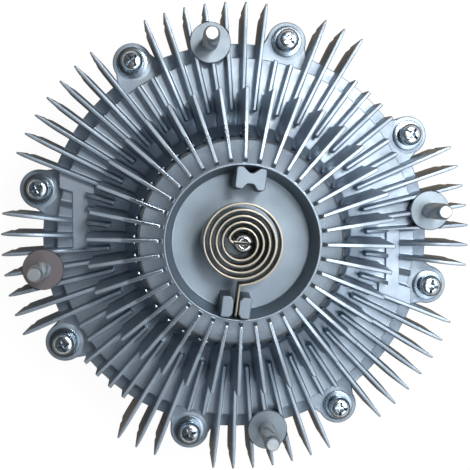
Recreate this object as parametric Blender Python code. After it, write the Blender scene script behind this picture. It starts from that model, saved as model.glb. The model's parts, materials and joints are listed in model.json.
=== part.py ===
"""Viscous fan clutch of a truck engine, lying on the rear flange of its input shaft.

Metres, +Z up. The clutch turns about Z, the origin is the middle of the rear mounting face,
the finned front cover looks up, and X and Y are the photograph's right and up.
"""

import math

import bmesh
import bpy
from mathutils import Matrix, Vector

# Fits between neighbouring pieces, and what every form and cutter shares
SEAT_GAP = 0.0003
RUNNING_GAP = 0.0006
EDGE_BREAK = 0.0010
SINK = 0.0010
CUTTER_PAST = 0.0020

# Bimetal spring, wound clockwise from the shaft outwards, and the shaft that it turns
VALVE_SHAFT_RADIUS = 0.0043
SPRING_STRIP = 0.0010
SPRING_WIDTH = 0.0115
SPRING_PITCH = 0.0028
SPRING_TURNS = 4.757
SPRING_START_GAP = 0.0015
SPRING_CENTRE_X = -0.0010
SPRING_CENTRE_Y = 0.0003
SPRING_FLOOR_GAP = 0.0060
SPRING_LEG_INSET = 0.0016
SPRING_STEPS_PER_TURN = 18
SPRING_START_TURN = 22.0
HOOK_EASE = 0.0003
TAB_REACH = 0.0026
SLOT_ANGLE = 175.0
SPRING_START_RADIUS = VALVE_SHAFT_RADIUS + SPRING_START_GAP
SPRING_OUTER_RADIUS = SPRING_START_RADIUS + SPRING_PITCH * SPRING_TURNS

# Ball bearing between shaft and case
BEARING_BORE_RADIUS = 0.0150
BEARING_SECTION = 0.0160
BEARING_WIDTH = 0.0160
BALL_COUNT = 9
BALL_SIDE_ROOM = 0.0034
RACE_LAND_OFFSET = 0.0026
CAGE_THICKNESS = 0.0018
CAGE_EDGE = 0.0007
SHIELD_THICKNESS = 0.0008
CASE_RING_THICKNESS = 0.0015
CASE_RING_DEPTH = 0.0016
CASE_RING_REACH = 0.0026
BEARING_OUTER_RADIUS = BEARING_BORE_RADIUS + BEARING_SECTION
BALL_CIRCLE_RADIUS = BEARING_BORE_RADIUS + BEARING_SECTION / 2
BALL_RADIUS = BEARING_WIDTH / 2 - BALL_SIDE_ROOM
CAGE_HEIGHT = 2 * (BALL_RADIUS + RUNNING_GAP + CAGE_EDGE)

# Input shaft with its rear mounting flange
FLANGE_THICKNESS = 0.0080
FLANGE_BOLT_COUNT = 4
FLANGE_BOLT_PHASE = 45.0
FLANGE_BOLT_CIRCLE_RADIUS = 0.0375
FLANGE_HOLE_RADIUS = 0.0044
FLANGE_EDGE_WIDTH = 0.0105
PILOT_RADIUS = 0.0125
PILOT_DEPTH = 0.0110
NECK_LENGTH = 0.0060
NECK_SHOULDER = 0.0040
NECK_FILLET = 0.0020
JOURNAL_RELIEF = 0.0008
ROTOR_SEAT_STEP = 0.0030
RETAINER_THICKNESS = 0.0015
RETAINER_REACH = 0.0035
RETAINER_GROOVE_DEPTH = 0.0012
SHAFT_END_LENGTH = 0.0020
FLANGE_RADIUS = FLANGE_BOLT_CIRCLE_RADIUS + FLANGE_EDGE_WIDTH
SHAFT_NECK_RADIUS = BEARING_BORE_RADIUS + NECK_SHOULDER
ROTOR_SEAT_RADIUS = BEARING_BORE_RADIUS - ROTOR_SEAT_STEP
RETAINER_OUTER_RADIUS = ROTOR_SEAT_RADIUS + RETAINER_REACH

# Heights of the wet inside: case floor, rotor, rings and chamber
CASE_RING_COVER = 0.0019
CASE_DISH_DEPTH = 0.0050
ROTOR_REAR_GAP = 0.0025
ROTOR_PLATE_THICKNESS = 0.0045
ROTOR_HUB_HEIGHT = 0.0030
RING_HEIGHT = 0.0070
RING_TIP_GAP = 0.0017
COVER_WALL = 0.0060
RIM_THICKNESS = 0.0090
OUTER_FIN_HEIGHT = 0.0063
FLANGE_TOP_Z = FLANGE_THICKNESS
BEARING_BOTTOM_Z = FLANGE_TOP_Z + NECK_LENGTH
BEARING_TOP_Z = BEARING_BOTTOM_Z + BEARING_WIDTH
CASE_FLOOR_Z = BEARING_TOP_Z + CASE_RING_THICKNESS + 2 * SEAT_GAP + CASE_RING_COVER
JOINT_Z = CASE_FLOOR_Z + CASE_DISH_DEPTH
ROTOR_PLATE_BOTTOM_Z = CASE_FLOOR_Z + ROTOR_REAR_GAP
ROTOR_PLATE_TOP_Z = ROTOR_PLATE_BOTTOM_Z + ROTOR_PLATE_THICKNESS
ROTOR_HUB_TOP_Z = ROTOR_PLATE_TOP_Z + ROTOR_HUB_HEIGHT
RETAINER_Z = ROTOR_HUB_TOP_Z + SEAT_GAP
SHAFT_TOP_Z = RETAINER_Z + RETAINER_THICKNESS + SHAFT_END_LENGTH
CHAMBER_ROOF_Z = ROTOR_PLATE_TOP_Z + RING_HEIGHT + RING_TIP_GAP
RIM_TOP_Z = JOINT_Z + RIM_THICKNESS
LAND_TOP_Z = CHAMBER_ROOF_Z + COVER_WALL
FAN_SEAT_Z = LAND_TOP_Z + OUTER_FIN_HEIGHT

# Heights of the hub: recess for the spring, posts and shaft end
HUB_FLOOR_RISE = 0.0143
RECESS_DEPTH = 0.0130
SHOULDER_DROP = 0.0050
POST_DROP = 0.0010
SHAFT_END_RISE = 0.0005
SLOT_FLOOR_GAP = 0.0005
RECESS_FLOOR_Z = LAND_TOP_Z + HUB_FLOOR_RISE
RECESS_RIM_Z = RECESS_FLOOR_Z + RECESS_DEPTH
SHOULDER_Z = RECESS_RIM_Z - SHOULDER_DROP
SPRING_BOTTOM_Z = RECESS_FLOOR_Z + SPRING_FLOOR_GAP
SPRING_TOP_Z = SPRING_BOTTOM_Z + SPRING_WIDTH
POST_TOP_Z = SPRING_TOP_Z - POST_DROP
VALVE_SHAFT_TOP_Z = SPRING_TOP_Z + SHAFT_END_RISE

# Radii of the hub, from the spring outwards
COIL_ROOM = 0.01338
RECESS_WALL_LEAN = 0.0027
RECESS_RIM_WIDTH = 0.0031
HUB_SLOPE_WIDTH = 0.0097
HUB_SKIRT_WIDTH = 0.0076
SHOULDER_BREAK = 0.0013
SHOULDER_FALL = 0.0020
SHAFT_BOSS_WALL = 0.0045
SHAFT_BOSS_HEIGHT = 0.0035
INNER_BOSS_WALL = 0.0067
INNER_BOSS_HEIGHT = 0.0033
HUB_WALL = 0.0035
ROOF_RISE = 0.0012
RECESS_FLOOR_RADIUS = SPRING_OUTER_RADIUS + COIL_ROOM
RECESS_RIM_RADIUS = RECESS_FLOOR_RADIUS + RECESS_WALL_LEAN
HUB_RIM_RADIUS = RECESS_RIM_RADIUS + RECESS_RIM_WIDTH
SHOULDER_RADIUS = HUB_RIM_RADIUS + HUB_SLOPE_WIDTH
HUB_BASE_RADIUS = SHOULDER_RADIUS + HUB_SKIRT_WIDTH
SHAFT_BOSS_RADIUS = VALVE_SHAFT_RADIUS + SHAFT_BOSS_WALL
INNER_BOSS_RADIUS = VALVE_SHAFT_RADIUS + INNER_BOSS_WALL

# Separator plate, its port and screws, and the reservoir behind it
PLATE_INSET = 0.0044
PLATE_THICKNESS = 0.0014
PLATE_RECESS = 0.0006
PLATE_SEAT_WIDTH = 0.0057
RESERVOIR_DRAFT = 0.0015
PORT_ANGLE = 205.0
PORT_INSET = 0.0095
PORT_RADIUS = 0.0030
PLATE_SCREW_COUNT = 3
PLATE_SCREW_INSET = 0.0028
PLATE_SCREW_RADIUS = 0.0014
PLATE_SCREW_HEAD_RADIUS = 0.0025
PLATE_SCREW_HEAD_HEIGHT = 0.0014
PLATE_SCREW_LENGTH = 0.0052
PLATE_SCREW_PHASE = 60.0
PLATE_RADIUS = HUB_BASE_RADIUS - PLATE_INSET
PLATE_BOTTOM_Z = CHAMBER_ROOF_Z + PLATE_RECESS
RESERVOIR_RADIUS = PLATE_RADIUS - PLATE_SEAT_WIDTH
PORT_CIRCLE_RADIUS = RESERVOIR_RADIUS - PORT_INSET
PLATE_SCREW_CIRCLE_RADIUS = PLATE_RADIUS - PLATE_SCREW_INSET

# Valve arm over the port, and the parts that hold and seal the shaft
SHAFT_CENTRE_RADIUS = 0.0021
SHAFT_CENTRE_DEPTH = 0.0012
SHAFT_END_BREAK = 0.0004
SHAFT_SLOT_WIDTH = 0.0017
O_RING_DEPTH = 0.0040
O_RING_SECTION = 0.0005
ARM_CLEARANCE = 0.0007
ARM_THICKNESS = 0.0010
ARM_WIDTH = 0.0090
ARM_ROOT_WIDTH = 0.0072
ARM_PAST_PORT = 0.0020
ARM_CORNER = 0.0020
ARM_HUB_WALL = 0.0029
ARM_SPIGOT_STEP = 0.0019
CIRCLIP_THICKNESS = 0.0010
CIRCLIP_REACH = 0.0032
CIRCLIP_GROOVE_DEPTH = 0.0008
ARM_HUB_RADIUS = VALVE_SHAFT_RADIUS + ARM_HUB_WALL
ARM_SPIGOT_RADIUS = VALVE_SHAFT_RADIUS - ARM_SPIGOT_STEP
CIRCLIP_OUTER_RADIUS = VALVE_SHAFT_RADIUS + CIRCLIP_REACH
CIRCLIP_TOP_Z = RECESS_FLOOR_Z - COVER_WALL - INNER_BOSS_HEIGHT - SEAT_GAP
O_RING_Z = RECESS_FLOOR_Z - O_RING_DEPTH

# Rotor and the rings that drive the cover through the fluid
RING_COUNT = 3
RING_TO_PLATE = 0.0088
RING_PITCH = 0.0080
RING_THICKNESS = 0.0024
ROTOR_EDGE_WIDTH = 0.0080
ROTOR_EDGE_GAP = 0.0020
ROTOR_HUB_WALL = 0.0070
ROTOR_HUB_RADIUS = ROTOR_SEAT_RADIUS + ROTOR_HUB_WALL
RING_FIRST_RADIUS = PLATE_RADIUS + RING_TO_PLATE
ROTOR_RADIUS = RING_FIRST_RADIUS + (RING_COUNT - 1) * RING_PITCH + ROTOR_EDGE_WIDTH

# Radii of the cover outside the rotor, and the seal in the joint
CHAMBER_WALL = 0.0026
RIM_WIDTH = 0.0076
LAND_DRAFT = 0.0005
SEAL_INSET = 0.0036
SEAL_SECTION = 0.0009
CHAMBER_RADIUS = ROTOR_RADIUS + ROTOR_EDGE_GAP
LAND_RADIUS = CHAMBER_RADIUS + CHAMBER_WALL
RIM_RADIUS = LAND_RADIUS + RIM_WIDTH
SEAL_RADIUS = CHAMBER_RADIUS + SEAL_INSET

# Cooling fins of the cover
FIN_COUNT = 72
FIN_PHASE = 3.4
FIN_TOP_THICKNESS = 0.0018
FIN_DRAFT = 2.5
FIN_ROOT_DEPTH = 0.0025
FIN_OVERLAP = 0.0022
LONG_FIN_START = 0.0068
BLADE_REACH = 0.0171
BLADE_RAKE = 0.0016
BLADE_HEEL = 0.0030
BLADE_REAR_RISE = 0.0010
SHORT_FIN_FIRST = 38.4
SHORT_FIN_COUNT = 4
SHORT_FIN_INSET = 0.0004
RIB_INSET = 0.0008
INNER_FIN_LENGTH = 0.0150
INNER_FIN_RAKE = 0.0012
INNER_FIN_NOSE = 0.0018
INNER_FIN_NOSE_REACH = 0.0008
INNER_FIN_NOSE_LIFT = 0.0002
INNER_FIN_OUTER_RISE = 0.0010
INNER_FIN_INNER_RISE = 0.0025
LONG_FIN_START_RADIUS = HUB_BASE_RADIUS + LONG_FIN_START
BLADE_TIP_RADIUS = RIM_RADIUS + BLADE_REACH
BLADE_REAR_RADIUS = BLADE_TIP_RADIUS - BLADE_RAKE
BLADE_REAR_Z = JOINT_Z + BLADE_REAR_RISE
INNER_FIN_START_RADIUS = HUB_RIM_RADIUS - INNER_FIN_NOSE_REACH
INNER_FIN_END_RADIUS = HUB_BASE_RADIUS + INNER_FIN_LENGTH
INNER_FIN_OUTER_TOP_Z = RECESS_RIM_Z + INNER_FIN_OUTER_RISE
INNER_FIN_INNER_TOP_Z = RECESS_RIM_Z + INNER_FIN_INNER_RISE

# Lugs and their screws
SCREW_COUNT = 8
SCREW_PHASE = 30.9
SCREW_OVERHANG = 0.0043
LUG_EDGE = 0.0022
LUG_FLARE = 0.00175
SCREW_SHANK_RADIUS = 0.0030
SCREW_HEAD_RADIUS = 0.00525
SCREW_HEAD_HEIGHT = 0.0041
SCREW_HEAD_SIDE = 0.0024
SCREW_CROWN_DROP = 0.0006
SCREW_CROWN_INSET = 0.00084
SCREW_FLAT_RADIUS = 0.00315
SCREW_LENGTH = 0.0220
CROSS_WIDTH = 0.0014
CROSS_LENGTH = 0.0062
CROSS_DEPTH = 0.0022
WASHER_RADIUS = 0.0075
WASHER_THICKNESS = 0.0016
SPRING_WASHER_RADIUS = 0.0053
SPRING_WASHER_THICKNESS = 0.0015
SCREW_CIRCLE_RADIUS = RIM_RADIUS + SCREW_OVERHANG
LUG_RADIUS = WASHER_RADIUS + LUG_EDGE

# Fan studs
STUD_COUNT = 4
STUD_PHASE = 8.4
STUD_INSET = 0.0012
STUD_RADIUS = 0.0040
STUD_COLLAR_RADIUS = 0.00975
STUD_COLLAR_THICKNESS = 0.0025
STUD_PROTRUSION = 0.0220
STUD_DOG_RADIUS = 0.0031
STUD_DOG_LENGTH = 0.0022
STUD_DOG_CHAMFER = 0.0008
STUD_ROOT_LENGTH = 0.0150
STUD_BOSS_WALL = 0.0038
STUD_CIRCLE_RADIUS = RIM_RADIUS - STUD_INSET
STUD_BOSS_RADIUS = STUD_RADIUS + STUD_BOSS_WALL

# Spring posts in the recess, and the two flat pads across the fins
POST_ANGLE = 83.4
POST_INSET = 0.0032
POST_WIDTH = 0.0148
POST_DEPTH = 0.0108
POST_LOBE = 0.00444
POST_WAIST = 0.0049
POST_CORNER = 0.0016
POST_SLOT = 0.0025
POST_SPREAD = 0.0007
PAD_HEIGHT = 0.0017
PAD_INSET = 0.0152
PAD_BAR_WIDTH = 0.0069
PAD_LOW_Y = -0.0045
PAD_HIGH_Y = 0.0225
PAD_BLOCK_INSET = 0.0032
PAD_BLOCK_REACH = 0.0027
PAD_BLOCK_LENGTH = 0.0075
POST_RADIUS = RECESS_FLOOR_RADIUS - POST_INSET
SPRING_LEG_RADIUS = POST_RADIUS + POST_DEPTH / 2 - SPRING_LEG_INSET
PAD_TOP_Z = LAND_TOP_Z + PAD_HEIGHT
PAD_INNER_X = LAND_RADIUS - PAD_INSET
PAD_OUTER_X = PAD_INNER_X + PAD_BAR_WIDTH
PAD_BLOCK_INNER_X = PAD_INNER_X - PAD_BLOCK_INSET
PAD_BLOCK_OUTER_X = PAD_OUTER_X + PAD_BLOCK_REACH
PAD_BLOCK_HIGH_Y = PAD_HIGH_Y + PAD_BLOCK_LENGTH

# Rear case
CASE_FLANGE_THICKNESS = 0.0090
CASE_HUB_WALL = 0.0075
CASE_LIP_REACH = 0.0040
CASE_LIP_THICKNESS = 0.0022
CASE_DRAFT = 0.0010
CASE_RIM_STEP = 0.0050
CASE_PLATE_THICKNESS = 0.0060
CASE_LUG_HEIGHT = 0.0130
CASE_LUG_ROOT = 0.0035
REAR_FIN_COUNT = 24
REAR_FIN_THICKNESS = 0.0026
REAR_FIN_HEIGHT = 0.0105
REAR_FIN_HUB_GAP = 0.0035
REAR_FIN_INSET = 0.0062
REAR_FIN_CORNER_WIDTH = 0.0080
REAR_FIN_CORNER_HEIGHT = 0.0060
CASE_HUB_RADIUS = BEARING_OUTER_RADIUS + CASE_HUB_WALL
CASE_LIP_RADIUS = BEARING_OUTER_RADIUS - CASE_LIP_REACH
CASE_HUB_BOTTOM_Z = BEARING_BOTTOM_Z - SEAT_GAP - CASE_LIP_THICKNESS
CASE_PLATE_BOTTOM_Z = CASE_FLOOR_Z - CASE_PLATE_THICKNESS
REAR_FIN_BOTTOM_Z = CASE_PLATE_BOTTOM_Z - REAR_FIN_HEIGHT
REAR_FIN_INNER_RADIUS = CASE_HUB_RADIUS + REAR_FIN_HUB_GAP
REAR_FIN_OUTER_RADIUS = RIM_RADIUS - REAR_FIN_INSET

# Facets of round forms
ROUND = 36
INNER_ROUND = 20
BEARING_ROUND = 18
SMALL_ROUND = 12


def remove_everything():
    """Clear the scene before the part is built."""
    for thing in list(bpy.data.objects):
        bpy.data.objects.remove(thing, do_unlink=True)


def material(name, colour, roughness, metallic):
    """Return a Principled material."""
    made = bpy.data.materials.get(name) or bpy.data.materials.new(name)
    made.use_nodes = True
    shader = made.node_tree.nodes["Principled BSDF"]
    shader.inputs["Base Color"].default_value = (*colour, 1.0)
    shader.inputs["Roughness"].default_value = roughness
    shader.inputs["Metallic"].default_value = metallic
    return made


def cast_aluminium():
    """Light blue-grey die-cast skin of the cover and the case."""
    return material("cast_aluminium", (0.56, 0.60, 0.66), 0.38, 0.9)


def machined_aluminium():
    """Turned aluminium of the rotor."""
    return material("machined_aluminium", (0.66, 0.68, 0.70), 0.30, 1.0)


def zinc_steel():
    """Bright zinc of screws, washers and studs."""
    return material("zinc_steel", (0.62, 0.68, 0.72), 0.24, 1.0)


def ground_steel():
    """Ground steel of shafts and bearing rings."""
    return material("ground_steel", (0.55, 0.56, 0.58), 0.22, 1.0)


def plate_steel():
    """Pressed steel of plates, clips and cage."""
    return material("plate_steel", (0.42, 0.43, 0.45), 0.35, 1.0)


def bimetal():
    """Warm grey bimetal strip."""
    return material("bimetal", (0.36, 0.32, 0.26), 0.30, 1.0)


def rubber():
    """Black rubber of the sealing rings."""
    return material("rubber", (0.02, 0.02, 0.02), 0.60, 0.0)


def new_object(name, form, look=None):
    """Turn a bmesh into a linked object with outward faces."""
    bmesh.ops.recalc_face_normals(form, faces=form.faces)
    mesh = bpy.data.meshes.new(name)
    form.to_mesh(mesh)
    form.free()
    made = bpy.data.objects.new(name, mesh)
    bpy.context.collection.objects.link(made)
    if look is not None:
        mesh.materials.append(look)
    return made


def shade(thing):
    """Shade round stretches smooth and keep real edges sharp."""
    thing.data.shade_smooth()
    thing.data.set_sharp_from_angle(angle=math.radians(32))


def turned(name, outline, look=None, segments=ROUND):
    """Spin a closed outline of (radius, height) points about Z."""
    form = bmesh.new()
    ring = [form.verts.new((radius, 0.0, height)) for radius, height in outline]
    edges = [form.edges.new((ring[i], ring[(i + 1) % len(ring)])) for i in range(len(ring))]
    edges = [edge for edge in edges if max(abs(vert.co.x) for vert in edge.verts) > 1e-7]
    bmesh.ops.spin(form, geom=ring + edges, axis=(0, 0, 1), cent=(0, 0, 0), steps=segments,
                   angle=math.tau, use_duplicate=False)
    bmesh.ops.remove_doubles(form, verts=form.verts, dist=1e-6)
    loose = [edge for edge in form.edges if not edge.link_faces]
    bmesh.ops.delete(form, geom=loose, context="EDGES")
    return new_object(name, form, look)


def prism(name, outline, bottom, top, look=None):
    """Extrude a closed plan outline of (x, y) points from one height to another."""
    form = bmesh.new()
    base = form.faces.new([form.verts.new((x, y, bottom)) for x, y in outline])
    grown = bmesh.ops.extrude_face_region(form, geom=[base])
    risen = [item for item in grown["geom"] if isinstance(item, bmesh.types.BMVert)]
    bmesh.ops.translate(form, verts=risen, vec=(0, 0, top - bottom))
    return new_object(name, form, look)


def cylinder(name, radius, bottom, top, look=None, segments=SMALL_ROUND, at=(0.0, 0.0)):
    """Upright cylinder between two heights."""
    form = bmesh.new()
    place = Matrix.Translation((at[0], at[1], (bottom + top) / 2))
    bmesh.ops.create_cone(form, cap_ends=True, segments=segments, radius1=radius, radius2=radius,
                          depth=top - bottom, matrix=place)
    return new_object(name, form, look)


def on_circle(radius, degrees):
    """Plan point at a radius and an angle."""
    turn = math.radians(degrees)
    return (radius * math.cos(turn), radius * math.sin(turn))


def merged(name, pieces):
    """Gather separate bodies in one mesh, to be used as one tool of a Boolean."""
    form = bmesh.new()
    for piece in pieces:
        form.from_mesh(piece.data)
        bpy.data.objects.remove(piece, do_unlink=True)
    return new_object(name, form)


def combine(target, tool, operation):
    """Join a tool to a target, or cut it away, and leave the result as plain mesh."""
    tool.hide_render = True
    tool.display_type = "WIRE"
    step = target.modifiers.new(operation.lower(), "BOOLEAN")
    step.operation = operation
    step.solver = "EXACT"
    step.object = tool
    bpy.context.view_layer.update()
    seen = target.evaluated_get(bpy.context.evaluated_depsgraph_get())
    result = bpy.data.meshes.new_from_object(seen)
    target.modifiers.clear()
    target.data = result
    bpy.data.objects.remove(tool, do_unlink=True)


def copy_of(thing, name, place):
    """Copy a finished piece, sharing its mesh, to a new place."""
    made = bpy.data.objects.new(name, thing.data)
    made.matrix_world = place
    bpy.context.collection.objects.link(made)
    return made


def draft_slope():
    """Growth of a fin's half thickness for each metre of height."""
    return math.tan(math.radians(FIN_DRAFT))


def radial_plate(degrees, outline, half_at):
    """Upright plate on a radius, from a convex side outline of (radius, height) points."""
    form = bmesh.new()
    near = [form.verts.new((radius, -half_at(height), height)) for radius, height in outline]
    far = [form.verts.new((radius, half_at(height), height)) for radius, height in outline]
    form.faces.new(near)
    form.faces.new(list(reversed(far)))
    count = len(outline)
    for i in range(count):
        j = (i + 1) % count
        form.faces.new((near[i], far[i], far[j], near[j]))
    bmesh.ops.triangulate(form, faces=form.faces)
    turn = Matrix.Rotation(math.radians(degrees), 3, "Z")
    bmesh.ops.rotate(form, verts=form.verts, cent=(0, 0, 0), matrix=turn)
    return new_object("plate", form)


def fin(degrees, outline, top_z):
    """One drafted cooling fin, thicker towards its foot."""

    def half_at(height):
        return FIN_TOP_THICKNESS / 2 + (top_z - height) * draft_slope()

    return radial_plate(degrees, outline, half_at)


def angles_near(first, degrees, step):
    """Tell whether an angle repeats a first one at a regular step."""
    away = (degrees - first) % step
    return min(away, step - away) < 0.5


def long_fin_kinds():
    """Sort the outer fin angles into blades, short fins and ribs that stop at a lug."""
    blades, shorts, ribs = [], [], []
    pitch = 360.0 / FIN_COUNT
    for k in range(FIN_COUNT):
        degrees = FIN_PHASE + k * pitch
        lug_side = any(angles_near(SCREW_PHASE + side * pitch / 2, degrees, 360.0 / SCREW_COUNT)
                       for side in (-1, 1))
        short_zone = any(angles_near(SHORT_FIN_FIRST + step * pitch, degrees, 180.0)
                         for step in range(SHORT_FIN_COUNT))
        starts_inside = k % 2 == 1
        group = ribs if lug_side else shorts if short_zone else blades
        group.append((degrees, starts_inside))
    return blades, shorts, ribs


def fin_start(starts_inside):
    """Radius at which an outer fin begins: inside an inner fin, or free in the bay."""
    return INNER_FIN_END_RADIUS - FIN_OVERLAP if starts_inside else LONG_FIN_START_RADIUS


def outer_fins():
    """All 72 outer fins, with blades that run out past the rim."""
    blades, shorts, ribs = long_fin_kinds()
    root = LAND_TOP_Z - FIN_ROOT_DEPTH
    heel = LAND_RADIUS + BLADE_HEEL
    made = []
    for degrees, starts_inside in blades:
        start = fin_start(starts_inside)
        side = [(start, root), (heel, BLADE_REAR_Z), (BLADE_REAR_RADIUS, BLADE_REAR_Z),
                (BLADE_TIP_RADIUS, FAN_SEAT_Z), (start, FAN_SEAT_Z)]
        made.append(fin(degrees, side, FAN_SEAT_Z))
    for degrees, starts_inside in shorts:
        start = fin_start(starts_inside)
        end = RIM_RADIUS - SHORT_FIN_INSET
        side = [(start, root), (end, RIM_TOP_Z - CUTTER_PAST), (end, FAN_SEAT_Z), (start, FAN_SEAT_Z)]
        made.append(fin(degrees, side, FAN_SEAT_Z))
    for degrees, starts_inside in ribs:
        start = fin_start(starts_inside)
        end = LAND_RADIUS - RIB_INSET
        side = [(start, root), (end, root), (end, FAN_SEAT_Z), (start, FAN_SEAT_Z)]
        made.append(fin(degrees, side, FAN_SEAT_Z))
    return merged("outer_fins", made)


def inner_fins():
    """The 36 tall fins that climb from the bays over the hub to the recess rim."""
    pitch = 720.0 / FIN_COUNT
    side = [(INNER_FIN_START_RADIUS + SINK, RECESS_RIM_Z - FIN_ROOT_DEPTH),
            (HUB_BASE_RADIUS + SINK, LAND_TOP_Z - FIN_ROOT_DEPTH),
            (INNER_FIN_END_RADIUS + INNER_FIN_RAKE, LAND_TOP_Z - FIN_ROOT_DEPTH),
            (INNER_FIN_END_RADIUS, INNER_FIN_OUTER_TOP_Z),
            (INNER_FIN_START_RADIUS + INNER_FIN_NOSE, INNER_FIN_INNER_TOP_Z),
            (INNER_FIN_START_RADIUS, RECESS_RIM_Z + INNER_FIN_NOSE_LIFT)]
    first = FIN_PHASE + 360.0 / FIN_COUNT
    made = [fin(first + k * pitch, side, INNER_FIN_INNER_TOP_Z) for k in range(FIN_COUNT // 2)]
    return merged("inner_fins", made)


def lug_outline(reach_in):
    """Plan of one screw lug on +X: a round nose with flanks that flare into the rim."""
    points = []
    steps = 6
    for k in range(steps + 1):
        turn = math.radians(-80 + 160 * k / steps)
        points.append((SCREW_CIRCLE_RADIUS + LUG_RADIUS * math.cos(turn), LUG_RADIUS * math.sin(turn)))
    flare = LUG_RADIUS + LUG_FLARE
    return [(reach_in, -flare)] + points + [(reach_in, flare)]


def lugs(bottom, top, reach_in):
    """All screw lugs as one tool."""
    made = []
    for k in range(SCREW_COUNT):
        lug = prism("lug", lug_outline(reach_in), bottom, top)
        degrees = SCREW_PHASE + 360.0 * k / SCREW_COUNT
        lug.data.transform(Matrix.Rotation(math.radians(degrees), 4, "Z"))
        made.append(lug)
    return merged("lugs", made)


def ring_of_cylinders(name, count, phase, circle, radius, bottom, top, segments=SMALL_ROUND):
    """Equal upright cylinders spaced round a circle, as one tool."""
    made = []
    for k in range(count):
        at = on_circle(circle, phase + 360.0 * k / count)
        made.append(cylinder("pin", radius, bottom, top, None, segments, at))
    return merged(name, made)


def lobe(centre_x, half_width, half_depth, corner):
    """Corners of one rounded post lobe, counter-clockwise."""
    x0, x1 = centre_x - half_width, centre_x + half_width
    y0, y1 = -half_depth, half_depth
    return [(x0 + corner, y0), (x1 - corner, y0), (x1, y0 + corner), (x1, y1 - corner),
            (x1 - corner, y1), (x0 + corner, y1), (x0, y1 - corner), (x0, y0 + corner)]


def drafted_prism(name, outline, bottom, top, spread):
    """Prism whose foot is wider than its top by a spread on every side."""
    form = bmesh.new()
    middle = Vector((sum(x for x, y in outline), sum(y for x, y in outline))) / len(outline)
    low, high = [], []
    for x, y in outline:
        away = (Vector((x, y)) - middle).normalized() * spread
        low.append(form.verts.new((x + away.x, y + away.y, bottom)))
        high.append(form.verts.new((x, y, top)))
    form.faces.new(low)
    form.faces.new(high)
    count = len(outline)
    for i in range(count):
        j = (i + 1) % count
        form.faces.new((low[i], low[j], high[j], high[i]))
    return new_object(name, form)


def upper_post():
    """Bow-tie shaped post: two lobes with a thin waist between them."""
    half_w, half_d, waist = POST_WIDTH / 2, POST_DEPTH / 2, POST_WAIST / 2
    cut = EDGE_BREAK
    inner = half_w - POST_LOBE
    outline = [(-half_w + cut, -half_d), (-inner - cut, -half_d), (-inner + cut, -waist),
               (inner - cut, -waist), (inner + cut, -half_d), (half_w - cut, -half_d),
               (half_w, -half_d + cut), (half_w, half_d - cut), (half_w - cut, half_d),
               (inner + cut, half_d), (inner - cut, waist), (-inner + cut, waist),
               (-inner - cut, half_d), (-half_w + cut, half_d), (-half_w, half_d - cut),
               (-half_w, -half_d + cut)]
    post = drafted_prism("upper_post", outline, RECESS_FLOOR_Z - SINK, POST_TOP_Z, POST_SPREAD)
    place = Matrix.Rotation(math.radians(POST_ANGLE - 90), 4, "Z") @ Matrix.Translation((0, POST_RADIUS, 0))
    post.data.transform(place)
    return post


def lower_posts():
    """Two pillars with a slot between them that holds the spring's outer leg."""
    width = (POST_WIDTH - POST_SLOT) / 2
    middle = POST_SLOT / 2 + width / 2
    made = []
    for side in (-1, 1):
        outline = lobe(side * middle, width / 2, POST_DEPTH / 2, POST_CORNER)
        made.append(drafted_prism("pillar", outline, RECESS_FLOOR_Z - SINK, POST_TOP_Z, POST_SPREAD / 2))
    posts = merged("lower_posts", made)
    place = Matrix.Rotation(math.radians(POST_ANGLE + 90), 4, "Z") @ Matrix.Translation((0, POST_RADIUS, 0))
    posts.data.transform(place)
    return posts


def pads():
    """Two opposite flat pads across the fins, each a bar with a block at one end."""
    root = LAND_TOP_Z - FIN_ROOT_DEPTH
    outline = [(PAD_INNER_X, PAD_LOW_Y), (PAD_OUTER_X, PAD_LOW_Y), (PAD_OUTER_X, PAD_HIGH_Y),
               (PAD_BLOCK_OUTER_X, PAD_HIGH_Y), (PAD_BLOCK_OUTER_X, PAD_BLOCK_HIGH_Y),
               (PAD_BLOCK_INNER_X, PAD_BLOCK_HIGH_Y), (PAD_BLOCK_INNER_X, PAD_HIGH_Y),
               (PAD_INNER_X, PAD_HIGH_Y)]
    right = prism("pad", [(x, -y) for x, y in outline], root, PAD_TOP_Z)
    left = prism("pad", [(-x, y) for x, y in outline], root, PAD_TOP_Z)
    return merged("pads", [right, left])


def pad_clearings():
    """Space over the pads' bars, where the outer fins stop on both sides."""
    outline = [(PAD_INNER_X, PAD_LOW_Y), (PAD_OUTER_X, PAD_LOW_Y), (PAD_OUTER_X, PAD_HIGH_Y),
               (PAD_INNER_X, PAD_HIGH_Y)]
    top = FAN_SEAT_Z + CUTTER_PAST
    right = prism("clearing", [(x, -y) for x, y in outline], PAD_TOP_Z, top)
    left = prism("clearing", [(-x, y) for x, y in outline], PAD_TOP_Z, top)
    return merged("pad_clearings", [right, left])


def cover_outside():
    """Turned outer form of the cover, solid down to the joint face."""
    outline = [(0.0, JOINT_Z), (RIM_RADIUS, JOINT_Z), (RIM_RADIUS, RIM_TOP_Z), (LAND_RADIUS, RIM_TOP_Z),
               (LAND_RADIUS - LAND_DRAFT, LAND_TOP_Z), (HUB_BASE_RADIUS, LAND_TOP_Z),
               (SHOULDER_RADIUS + SHOULDER_BREAK, SHOULDER_Z - SHOULDER_FALL),
               (SHOULDER_RADIUS - SHOULDER_BREAK, SHOULDER_Z), (HUB_RIM_RADIUS, RECESS_RIM_Z),
               (RECESS_RIM_RADIUS, RECESS_RIM_Z), (RECESS_FLOOR_RADIUS, RECESS_FLOOR_Z),
               (0.0, RECESS_FLOOR_Z)]
    cover = turned("front_cover", outline, cast_aluminium(), ROUND)
    between_fins = Matrix.Rotation(math.radians(FIN_PHASE + 180.0 / FIN_COUNT), 4, "Z")
    cover.data.transform(between_fins)
    return cover


def ring_middle(k):
    """Radius of the middle of one rotor ring."""
    return RING_FIRST_RADIUS + k * RING_PITCH


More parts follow.
